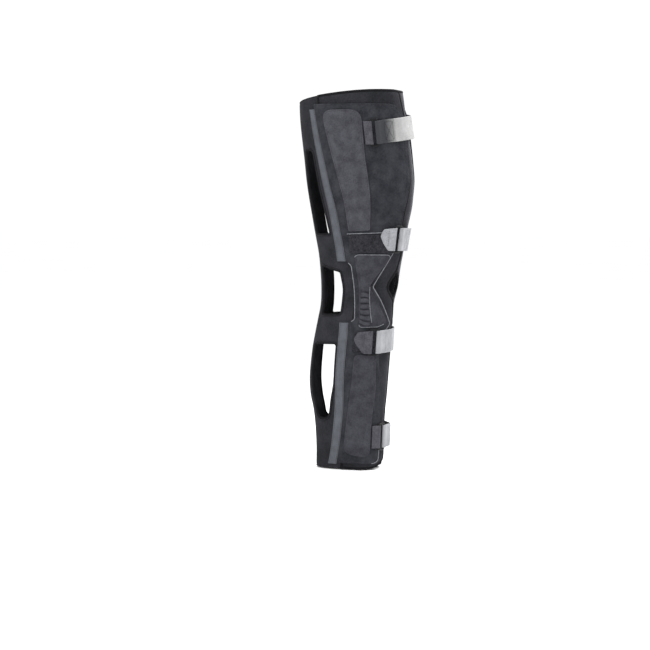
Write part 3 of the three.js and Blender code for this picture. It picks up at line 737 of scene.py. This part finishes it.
def panel_relief(points, distance):
    """The pinch of the edge seam, a second seam 10 mm in, and the core's slight unevenness."""
    pinch = -0.45 * np.exp(-(((distance - 3.0) / 0.9) ** 2))
    second = -0.3 * np.exp(-(((distance - 10.0) / 1.2) ** 2))
    return pinch + second + 0.35 * ripple(points, 45, 9) * ramp(distance, 4, 16)


# Stretches of a panel's edge that show their edging: lowest and highest height, then 1 to the
# front or -1 to the rear of the panel's middle, and how far beyond it
EDGED = [(-57, 44, -1, 14), (-80, 68, 1, 0), (-BELOW_KNEE, -242, 1, 14)]
PANEL_INSETS = (0.3, 0.8, 1.5, 2.3, 3.0, 3.7, 5.0, 7.5, 9.2, 10.0, 10.8, 12.5)

panel_edges, panel_seams = [], []
for name, hand in SIDES:
    middle = hand * 0.66
    loop = flat_loop([(hand * turn, height) for turn, height in panel_outline()], middle)
    at = wrapped(middle, hand > 0)
    cloth = cut_cloth([loop], insets=PANEL_INSETS)
    shell = cloth_shell(cloth, at, PANEL_IN, PANEL_OUT, 1.6, panel_relief)
    new_piece(f"{name}_side_panel_cloth", *shell, velour, "velour", [f"{name}_side_panel"])
    ahead, height = loop[:, 0] * hand, loop[:, 1]
    for low, high, side, beyond in EDGED:
        shown = (height > low) & (height < high) & (side * ahead > beyond)
        for line in stretches(loop, shown):
            panel_edges.append(cord(line, at, 1.7, 1.9, 0.3, PANEL_OUT - 0.6))
    panel_seams.append(seam(inset(loop, 3.0), at, PANEL_OUT - 0.35))
new_piece("panel_edging", *joined(panel_edges), edging, "velour")
new_piece("panel_stitching", *sewn(panel_seams), thread, "velour")

# Side tapes
#
# Flat woven tape is sewn over the join of wrap and panel with a row of stitches along each edge.
# It is 16 mm wide at the calf and narrows up the thigh, and stops at the knee, where the brace
# has to give.

TAPE_WIDTH, TAPE_WIDTH_AT_TOP, TAPE_IN = 16, 12, WRAP_THICK + 0.3

# Grosgrain of spun polyester: blue-grey, brighter than the cloth, with ribs across the tape.
# The real ribs stand 0.9 mm apart and are modelled at 1.8 mm, the bump adds the threads.
grosgrain = new_finish(
    "grosgrain_tape", "#484a4f", "#575a5f", patch=14, grain=1.5, rough=(0.65, 0.85),
    sheen=(0.1, 0.5, "#b4b8c0"), ribs=(0.9, "Y", 0.4, 0.3, 0),
)
TAPE_SECTION = [
    (0, 0.35), (0.01, 0.9), (0.06, 1.2), (0.2, 1.12), (0.35, 1.16), (0.5, 1.18), (0.65, 1.16),
    (0.8, 1.12), (0.94, 1.2), (0.99, 0.9), (1, 0.35), (0.95, 0), (0.5, 0), (0.05, 0),
]
TAPE_RIB = 1.8

tape_seams = []
for name, hand in SIDES:
    for place, bottom, top in (("thigh", 0.135, 0.905), ("calf", -0.975, -0.19)):
        heights = np.arange(height_of(bottom), height_of(top), TAPE_RIB / 2)
        edge = side_edge(heights)
        middle = hand * float(edge.mean())
        at = wrapped(middle, hand > 0)
        width = TAPE_WIDTH + (TAPE_WIDTH_AT_TOP - TAPE_WIDTH) * np.clip(heights / ABOVE_KNEE, 0, 1)

        def on_tape(across):
            turn = edge - (1 - across) * width / girth(heights)
            return (hand * turn - middle) * girth(heights)

        rib = 0.11 * np.cos(math.pi * np.arange(len(heights)))
        rows = np.stack(
            [
                at(on_tape(across), heights, TAPE_IN + out + (rib if out > 0.5 else 0))
                for across, out in TAPE_SECTION
            ],
            axis=1,
        )
        if hand < 0:
            rows = rows[:, ::-1]
        across = [across * TAPE_WIDTH for across, _ in TAPE_SECTION]
        pattern = np.stack(np.meshgrid(heights, across, indexing="ij"), axis=-1)
        new_piece(
            f"{name}_{place}_tape_weave", rows.reshape(-1, 3), swept(rows, False),
            pattern.reshape(-1, 2)[:, ::-1], grosgrain, "tape", [f"{name}_{place}_tape"],
        )
        for across in (0.12, 0.88):
            line = np.stack([on_tape(across), heights], axis=1)
            tape_seams.append(seam(line, at, TAPE_IN + 1.2))
new_piece("tape_stitching", *sewn(tape_seams), thread, "tape")

# Pads
#
# Softer, lighter velour pads sewn on the side panels over the stay pockets: a long one on the
# thigh, one at the knee cut to the kneecap's notch, and a long one on the calf.

PAD_IN, PAD_OUT = PANEL_OUT - 0.1, 10.3
PADS = {
    "thigh": [
        (0.482, 0.287, 3), (0.634, 0.293, 3), (0.629, 0.452, 60), (0.612, 0.654, 60),
        (0.618, 0.9, 20), (0.364, 0.9, 18), (0.409, 0.654, 60), (0.454, 0.452, 60),
    ],
    "knee": [
        (0.61, -0.216, 6), (0.75, -0.214, 12), (0.84, -0.192, 7), (0.652, 0.006, 7),
        (0.805, 0.168, 6), (0.515, 0.17, 8), (0.5615, 0.02, 60), (0.5885, -0.114, 60),
    ],
    "calf": [
        (0.49, -0.91, 16), (0.742, -0.94, 12), (0.752, -0.721, 60), (0.775, -0.552, 60),
        (0.755, -0.368, 10), (0.595, -0.365, 8), (0.594, -0.53, 60),
    ],
}

# Pad velour: a shade lighter than the panel, most of all on the thigh, with a longer nap that
# shows as light flecks
thigh_velour, lower_velour, gathered = (
    new_finish(
        name, dark, light, patch=16, grain=2.4, contrast=0.4, sheen=(0.12, 0.4, "#9a9aa6"),
        pile=(0.8, 0.9),
    )
    for name, dark, light in (
        ("thigh_pad_velour", "#35353a", "#48484e"), ("lower_pad_velour", "#2d2d32", "#3f3f45"),
        ("gathered_velour", "#313136", "#44444a"),
    )
)

# A hem runs across the panel below the thigh pad and climbs a little to the front, by the turns
# it crosses. A seam runs down the knee pad in front of the gathers and leans forward.
HEM_TURNS, HEM_HEIGHT, HEM_CLIMB = np.arange(0.47, 0.786, 0.006), 92, 8
SEAM_HEIGHTS, SEAM_TURN, SEAM_LEAN = np.arange(height_of(-0.19), height_of(0.01), 1.5), 0.655, 0.05


def pad_relief(points, distance):
    """The crown of a thin pad, pinched where it is sewn down."""
    pinch = -0.45 * np.exp(-(((distance - 2.8) / 1.3) ** 2))
    crown = 0.6 * ramp(distance, 3, 16)
    return pinch + crown + 0.35 * ripple(points, 34, 21) * ramp(distance, 4, 12)


pad_edges, pad_seams = [], []
for name, hand in SIDES:
    for place, rows in PADS.items():
        turns = [row[0] for row in rows]
        middle = hand * (min(turns) + max(turns)) / 2
        loop = flat_loop(rounded(corners_of(rows, hand)), middle)
        at = wrapped(middle, hand > 0)
        shell = cloth_shell(cut_cloth([loop], 3.2), at, PAD_IN, PAD_OUT, 2.0, pad_relief)
        finish = thigh_velour if place == "thigh" else lower_velour
        piece = new_piece(
            f"{name}_{place}_pad_cloth", *shell, finish, "pad", [f"{name}_{place}_pad"]
        )
        pad_seams.append(seam(inset(loop, 2.6), at, PAD_OUT - 0.6))
        if place == "thigh":
            climb = HEM_CLIMB * HEM_TURNS
            across = (HEM_TURNS - abs(middle)) * hand * girth(HEM_HEIGHT + 1 + climb)
            line = np.stack([across, HEM_HEIGHT + climb - climb[0]], axis=1)[::-hand]
            pad_edges.append(cord(line, at, 1.6, 1.2, 0, PANEL_OUT + 0.5))
        if place == "knee":
            ends = (loop[:, 1] > height_of(0.155)) | (loop[:, 1] < height_of(-0.2))
            for line in stretches(loop, ends):
                pad_edges.append(cord(line, at, 1.5, 1.7, 0.2, PAD_OUT - 0.9))
            turns = SEAM_TURN + SEAM_LEAN * np.clip(-SEAM_HEIGHTS / 60, 0, 1) ** 1.5
            across = (turns - abs(middle)) * hand * girth(SEAM_HEIGHTS)
            line = np.stack([across, SEAM_HEIGHTS], axis=1)
            pad_edges.append(cord(line, at, 1.0, 1.0, 0, PAD_OUT + 0.75))
new_piece("pad_edging", *joined(pad_edges), edging, "pad")
new_piece("pad_stitching", *sewn(pad_seams), thread, "pad")

# Gathers
#
# The cover over the stay at the knee is sewn down along both sides with its length eased in,
# so that it lies in folds across and lets the knee's side bend a little.

FOLD, FOLD_DEPTH = 9.0, 2.8
GATHERS = [(0.612, -0.205, 3), (0.695, -0.205, 3), (0.65, -0.02, 3), (0.585, -0.02, 3)]

# Painted shade: the gathers' velour colour is darkened down in the folds, standing in for the shade
# between them, and keeps its own shade on the crests. The height in their pattern follows the
# folds.
angle = maths(gathered, "MULTIPLY", pattern_height(gathered), math.pi * 100 / FOLD)
crest = maths(gathered, "ABSOLUTE", maths(gathered, "SINE", angle))
recolour(gathered, 1.0, mapped(gathered, crest, 0, 0.75, 0.3, 1.0), blend_type="MULTIPLY")

for name, hand in SIDES:
    middle = hand * 0.64
    loop = flat_loop(rounded(corners_of(GATHERS, hand)), middle, step=1.6)
    at = wrapped(middle, hand > 0)

    def wandered(points):
        wander = 1.6 * np.sin(points[:, 1] / 11 + points[:, 0] / 4) + 0.3 * points[:, 0] * hand
        return points[:, 1] + wander

    def folds(points, distance):
        fold = np.abs(np.sin(math.pi * wandered(points) / FOLD)) ** 0.7
        return (FOLD_DEPTH * fold - 0.9) * ramp(distance, 0.6, 4.5)

    cloth = cut_cloth([loop], 1.0, (0.3, 0.7, 1.2, 1.9, 2.7))
    corners, faces, pattern = cloth_shell(cloth, at, PAD_OUT + 0.1, PAD_OUT + 1.9, 1.0, folds)
    pattern = np.stack([pattern[:, 0], wandered(pattern)], axis=1)
    new_piece(
        f"{name}_gathers_cloth", corners, faces, pattern, gathered, "pad", [f"{name}_gathers"]
    )

# Loop bands
#
# Two bands of napped loop tape lie across the outer panel above and below the knee. They are
# sewn along both edges and hold the hooks under the two knee tabs.

BAND_HEIGHT, BAND_OUT = 31, 9.6
BANDS = {"upper": (0.482, 0.86, 0.224), "lower": (0.575, 0.775, -0.302)}

# Loop nap: almost black loops, matted in use into lighter and darker tufts
loop_nap = new_finish(
    "matted_loop_nap", "#1a1a1d", "#36363a", patch=7, grain=2.2, contrast=0.6,
    sheen=(0.08, 0.6, "#77777c"), pile=(1.0, 1.2),
)

band_seams = []
for name, (start, end, share) in BANDS.items():
    middle, height = (start + end) / 2, height_of(share)
    low, high = height - BAND_HEIGHT / 2, height + BAND_HEIGHT / 2
    corners = [(start, low, 2), (end, low, 2), (end, high, 2), (start, high, 2)]
    loop = flat_loop(rounded(corners), middle)
    at = wrapped(middle, True)
    tufts = np.random.default_rng(31)

    def nap(points, distance):
        tuft = tufts.normal(0, 0.16, len(points)) * ramp(distance, 1, 3)
        return tuft - 0.35 * np.exp(-(((distance - 1.9) / 0.7) ** 2))

    cloth = cut_cloth([loop], 1.6, (0.3, 0.8, 1.4, 1.9, 2.5, 3.4))
    shell = cloth_shell(cloth, at, PANEL_OUT + 0.3, BAND_OUT, 0.9, nap)
    new_piece(f"{name}_loop_band_nap", *shell, loop_nap, "band", [f"{name}_loop_band"])
    band_seams.append(seam(inset(loop, 1.9), at, BAND_OUT - 0.2))
new_piece("band_stitching", *sewn(band_seams), thread, "band")

# Straps
#
# Each strap is flat woven webbing, 39 mm wide. One end is sewn to the inner side. The other
# goes through a slot ring and is folded back over the ring's bar and sewn down in a box.

STRAP_WIDTH, WEBBING_THICK, WEBBING_RIB = 39, 1.2, 1.8
RING_OPENING, RING_BAR, RING_THICK, RING_CORNER, RING_LEVEL = 8, 3, 2.5, 2.6, 3.7
DOUBLED, BOX_START, BOX_END, BOX_IN = 34, 18, 31, 3.5
BEDS = {"panel": PANEL_OUT, "band": BAND_OUT + 0.3, "pad": PAD_OUT + 0.3}

# height is at the outer side and front at the front, as shares. ring and end are turns from the
# middle of the front out to the ring and in to the sewn end. reach is how far the piece behind
# the ring goes, in strap widths. The strap lies on bed at its ring and on last at its end, and
# sinks to the wrap where it is within sink turns of the front.
Strap = namedtuple("Strap", "height front ring end reach bed last sink")
STRAPS = {
    "thigh": Strap(0.782, 0.834, 0.322, 0.355, 0.28, "panel", "panel", 0),
    "upper_knee": Strap(0.247, 0.241, 0.18, 0.34, 0.54, "band", "panel", 0.142),
    "lower_knee": Strap(-0.297, -0.281, 0.272, 0.388, 0.62, "band", "panel", 0.13),
    "ankle": Strap(-0.822, -0.815, 0.15, 0.42, 0.31, "panel", "pad", 0),
}

# Webbing of textured nylon: light grey, with soft ribs across it and a dull thread shine. The
# ribs are modelled at 1.8 mm, twice their real spacing, and the bump adds the threads.
webbing, thigh_webbing = (
    new_finish(
        name, dark, light, patch=22, grain=1.6, rough=(0.7, 0.9), sheen=(0.1, 0.5, "#e8e8ec"),
        ribs=(1.1, "Y", 0.3, 0.3, 0), pile=(0.3, 0.3),
    )
    for name, dark, light in (
        ("woven_webbing", "#828386", "#98999c"), ("thigh_webbing", "#8e8e8e", "#a8a8a7")
    )
)

# Painted shade: the thigh strap's colour is darkened where it comes round its ring's bar, 184 mm
# along it from its sewn end: fully for 8 mm on either side of there, and less and less until 37 mm
# away
SHADE_AT, SHADE, FADED = 1.84, 0.08, 0.37
along = pattern_height(thigh_webbing)
beside = maths(thigh_webbing, "ABSOLUTE", maths(thigh_webbing, "SUBTRACT", along, SHADE_AT))
painted_shade = mapped(thigh_webbing, beside, SHADE, FADED, 1.0, 0.0, interpolation_type="SMOOTHSTEP")
recolour(thigh_webbing, painted_shade, linear("#37383b"))


def strap_length(strap):
    return float((strap.ring + strap.end) * girth(height_of(strap.height)))


def strap_at(strap):
    """Where a strap's own measures go: along it from its ring, across it, and out from its bed."""
    start = height_of(strap.height)
    half, rise = girth(start), height_of(strap.front) - start
    bed, last = BEDS[strap.bed], BEDS[strap.last]

    def at(along, across, out):
        along, across, out = np.broadcast_arrays(along, across, out)
        to_front = strap.ring * half - along
        travel = np.clip(along / strap_length(strap), 0, 1)
        height = start + rise * np.sin(travel * math.pi / 2)
        turn = 1 - to_front / girth(height)
        level = bed + (last - bed) * ramp(along, 0, strap.ring * half + 8)
        if strap.sink:
            edge = strap.sink * half
            sunk = 1 - ramp(np.abs(to_front), edge - 20, edge)
            level = level + (WRAP_THICK + 0.3 - level) * sunk
        skin, outward = on_form(turn, height + across)
        return skin + outward * (level + out + lift(turn, height)).ravel()[:, None]

    return at


def ribbon(path, at, limits, rib=0.1):
    """Webbing along a path of lengths and levels. limits gives its two edges at a length."""
    path = np.array(path, float)
    run = lengths_along(path)
    where = np.linspace(0, run[-1], round(run[-1] / (WEBBING_RIB / 2)))
    path = np.stack([np.interp(where, run, path[:, k]) for k in (0, 1)], axis=1)
    for _ in range(2):
        path[1:-1] = (path[:-2] + 2 * path[1:-1] + path[2:]) / 4
    up = inward(path, closed=False)
    shares = np.sin(np.linspace(-1, 1, 21) * math.pi / 2 * 0.97) / math.sin(math.pi / 2 * 0.97)
    low, high = limits(path[:, 0])
    rows = []
    for sign in (1, -1):
        for share in shares if sign > 0 else shares[::-1]:
            across = (low + high) / 2 + share * (high - low) / 2
            edge = np.clip((high - low) * (1 - abs(share)) / WEBBING_THICK, 0, 1)
            half = WEBBING_THICK / 2 * np.sqrt(1 - (1 - edge) ** 2 * 0.98)
            half = half + rib * np.cos(math.pi * np.arange(len(path))) * ramp(edge, 0.2, 1)
            offset = path + up * (sign * half)[:, None]
            rows.append(at(offset[:, 0], across, offset[:, 1]))
    rows = np.stack(rows, axis=1)
    across = np.concatenate([shares, shares[::-1]]) * STRAP_WIDTH / 2
    pattern = np.stack(np.meshgrid(across, where, indexing="xy"), axis=-1).reshape(-1, 2)
    return rows.reshape(-1, 3), swept(rows, False), pattern


def whole(along):
    half = np.full(len(along), STRAP_WIDTH / 2)
    return -half, half


def folded(sign, doubled, reach):
    """The path round a ring's bar: out under it, round it, over it, and down on itself."""
    near, under, over = 2.95, 1.4, 6.0
    bar_end = RING_OPENING / 2 + RING_BAR
    points = [
        (reach, under), (bar_end + 2, under), (bar_end - 2, under), (near + 0.5, under + 0.4),
        (near, under + 1.4), (near, over - 1.4), (near + 0.5, over - 0.4), (bar_end - 2.2, over),
        (bar_end - 0.5, over), (bar_end + 2, 4.6), (bar_end + 5, 3.0), (bar_end + 8, under + 1.2),
        (doubled, under + 1.2),
    ]
    return [(sign * along, out) for along, out in points]


edge = STRAP_WIDTH / 2 - BOX_IN
box = [(BOX_START, -edge), (BOX_END, -edge), (BOX_END, edge), (BOX_START, edge), (BOX_START, -edge)]
crossed = [((BOX_START, -edge), (BOX_END, edge)), ((BOX_END, -edge), (BOX_START, edge))]
strap_seams, painted_shade_seams = [], []
for name, strap in STRAPS.items():
    at = strap_at(strap)
    end = strap_length(strap)
    finish, box_seams = webbing, strap_seams
    # The thigh strap's box is sewn in dark thread, over the strap's painted shade
    if name == "thigh":
        finish, box_seams = thigh_webbing, painted_shade_seams
    weave = ribbon(folded(1, DOUBLED, end), at, whole)
    new_piece(f"{name}_strap_weave", *weave, finish, "webbing", [f"{name}_strap"])
    box_seams += [seam(np.linspace(a, b, 24), at, 3.3) for a, b in [*zip(box, box[1:]), *crossed]]
    for along in (end - 3, end - 13):
        strap_seams.append(seam(np.linspace((along, -edge), (along, edge), 24), at, 2.15))
new_piece("strap_stitching", *sewn(strap_seams), pale_thread, "webbing")
new_piece("worn_strap_stitching", *sewn(painted_shade_seams), thread, "webbing")

# Slot rings
#
# Flat rings of black nylon, one for each strap, moulded in one piece with rounded bars.

# Moulded nylon: near black with a satin skin and a faint grain from the mould
nylon = new_finish(
    "moulded_nylon", "#0a0a0c", "#111114", patch=9, grain=0.7, rough=(0.34, 0.5),
    pile=(0.12, 0.2), IOR=1.53, Specular_IOR_Level=0.18,
)

half_long = (STRAP_WIDTH + 2) / 2 + RING_BAR / 2 - RING_CORNER
half_wide = RING_OPENING / 2 + RING_BAR / 2 - RING_CORNER
outline = []
for k, (right, up) in enumerate(((1, 1), (-1, 1), (-1, -1), (1, -1))):
    for angle in np.linspace(0, math.pi / 2, 7) + k * math.pi / 2:
        bend = RING_CORNER * np.array([math.cos(angle), math.sin(angle)])
        outline.append(bend + (right * half_wide, up * half_long))
path = []
for a, b in zip(outline, [*outline[1:], outline[0]]):
    steps = max(1, round(np.linalg.norm(b - a) / 2.5))
    path += [a + (b - a) * k / steps for k in range(steps)]
path = np.array(path)
for name, strap in STRAPS.items():
    corners, faces, pattern = trim(
        path, strap_at(strap), oval(RING_BAR, RING_THICK, 0, RING_LEVEL, 14, 0.6)
    )
    new_piece(
        f"{name}_slot_ring", corners, faces, 0 * pattern, nylon, "plastic", [f"{name}_ring"]
    )

# Tabs and anchors
#
# Behind each ring the strap is held by a short piece of the same width, folded round the back
# bar: sewn to the panel at the thigh and ankle, and a pointed hook tab at the knee.

# Felted hook tabs: a brushed polyester face with a short fuzz, light above the knee and dark
# below, over the hooks
light_felt, dark_felt = (
    new_finish(
        name, dark, light, patch=8, grain=1.8, contrast=0.6, sheen=(0.12, 0.5, tint),
        pile=(0.6, 0.6),
    )
    for name, dark, light, tint in (
        ("light_felt", "#7b7c80", "#96979b", "#f0f0f2"),
        ("dark_felt", "#3a393e", "#4f4e54", "#a0a0a8"),
    )
)

# A tab's upper and lower edge in half widths, by shares of its reach. Then how far behind the
# ring's middle it starts, and the length of its blunt tip.
TAB_TOP = ([0, 0.86, 1], [1, 0.88, 0.5])
TAB_BOTTOM = ([0, 0.44, 1], [-1, -1, 0.04])
TAB_START, TAB_TIP = 2.35, 5

tab_seams = []
for name, strap in STRAPS.items():
    at = strap_at(strap)
    reach = strap.reach * STRAP_WIDTH
    tip = TAB_START + reach
    is_tab = strap.bed == "band"

    def pointed(along):
        back = (-along - TAB_START) / reach
        top, bottom = (
            sum(np.interp(back + spread, *edge) / 9 for spread in np.linspace(-0.1, 0.1, 9))
            for edge in (TAB_TOP, TAB_BOTTOM)
        )
        middle, spread = STRAP_WIDTH * (top + bottom) / 4, STRAP_WIDTH * (top - bottom) / 4
        left = np.clip(tip + along, 0.05, TAB_TIP) / TAB_TIP
        spread = np.maximum(spread, 4) * np.sqrt(1 - (1 - left) ** 2)
        return middle - spread, middle + spread

    corners, faces, pattern = ribbon(
        folded(-1, tip, tip), at, pointed if is_tab else whole, 0.02 if is_tab else 0.08
    )
    finish, slot = dark_felt, "dark_tab"
    if name == "upper_knee":
        finish, slot = light_felt, "grey_tab"
    name = f"{name}_tab" if is_tab else f"{name}_anchor"
    new_piece(f"{name}_felt", corners, [f[::-1] for f in faces], pattern, finish, slot, [name])
    edge = STRAP_WIDTH / 2 - 3
    rows = [(2 - tip, -edge, 3.4), (4.5 - tip, -edge, 3.4)]
    for along, low, out in [(-13, -0.8 * edge, 3.5)] if is_tab else rows:
        tab_seams.append(seam(np.linspace((along, low), (along, edge), 24), at, out))
new_piece("tab_stitching", *sewn(tab_seams), thread, "dark_tab")

# Floor, light and camera
#
# The brace stands on its lower rim on a plain white floor, in an even white room. One soft light
# comes from the front and its inner side, and one from high on its outer side. The camera is
# level with the knee, four metres off.

floor_finish = new_finish(
    "matt_white_floor", "#fafafb", "#fcfcfc", patch=900, grain=300, rough=(0.85, 0.95),
    Specular_IOR_Level=0.2,
)
FLOOR_RADIUS = 30
floor_level = float(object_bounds()[0][2]) - 0.001
turns = np.linspace(0, 2 * math.pi, 96, endpoint=False)
rim = [(FLOOR_RADIUS * math.cos(a), FLOOR_RADIUS * math.sin(a), floor_level) for a in turns]
floor_mesh = bpy.data.meshes.new("floor")
floor_mesh.from_pydata(rim, [], [tuple(range(len(rim)))])
floor_mesh.materials.append(floor_finish)
floor = linked("floor", floor_mesh)
floor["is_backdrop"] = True

world = bpy.data.worlds.new("studio")
world.use_nodes = True
background = world.node_tree.nodes["Background"].inputs
background["Color"].default_value = (1, 1, 1, 1)
background["Strength"].default_value = 1.04
bpy.context.scene.world = world
bpy.context.scene.view_settings.view_transform = "Standard"

CAMERA_TURN, CAMERA_RISE, CAMERA_AWAY = math.radians(-76), math.radians(3), 4.0
# The picture is 650 pixels wide, and a pixel is 1.7264 mm on the object. Its middle is 60 mm to
# the left of the knee and 66 mm below it.
PICTURE_WIDTH, MIDDLE_LEFT, MIDDLE_BELOW = 650 * 0.0017264, 0.060, 0.066
to_camera = Vector((math.sin(CAMERA_TURN), -math.cos(CAMERA_TURN), 0)) * math.cos(CAMERA_RISE)
to_camera.z = math.sin(CAMERA_RISE)
rightward = Vector((0, 0, 1)).cross(to_camera).normalized()
upward = to_camera.cross(rightward)
target = -MIDDLE_LEFT * rightward - MIDDLE_BELOW * upward


def facing(location, at):
    """A place in the room, turned so that an object there looks at a point."""
    back = (Vector(location) - Vector(at)).normalized()
    right = Vector((0, 0, 1)).cross(back).normalized()
    turned = Matrix((right, back.cross(right), back)).transposed().to_4x4()
    return Matrix.Translation(location) @ turned


camera_data = bpy.data.cameras.new("camera")
camera_data.sensor_width = 36
camera_data.lens = 36 * CAMERA_AWAY / PICTURE_WIDTH
camera_data.clip_end = 100
camera = linked("camera", camera_data)
camera.matrix_world = facing(target + CAMERA_AWAY * to_camera, target)
bpy.context.scene.camera = camera

# Direction from the front and height in degrees, distance and width in metres, and power
LIGHTS = [("front_light", 44, 42, 1.7, 1.0, 34), ("side_light", -108, 58, 2.2, 0.9, 32)]
for name, azimuth, elevation, away, size, watts in LIGHTS:
    data = bpy.data.lights.new(name, "AREA")
    data.shape, data.size, data.energy = "DISK", size, watts
    lamp = linked(name, data)
    turn, rise = math.radians(azimuth), math.radians(elevation)
    level = Vector((math.sin(turn), -math.cos(turn), 0)) * math.cos(rise)
    lamp.matrix_world = facing((level + Vector((0, 0, math.sin(rise)))) * away, (0, 0, 0))

boxes = {"cad": cad_box, "visual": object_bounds()}
{k: [[float(x) for x in corner] for corner in box] for k, box in boxes.items()}
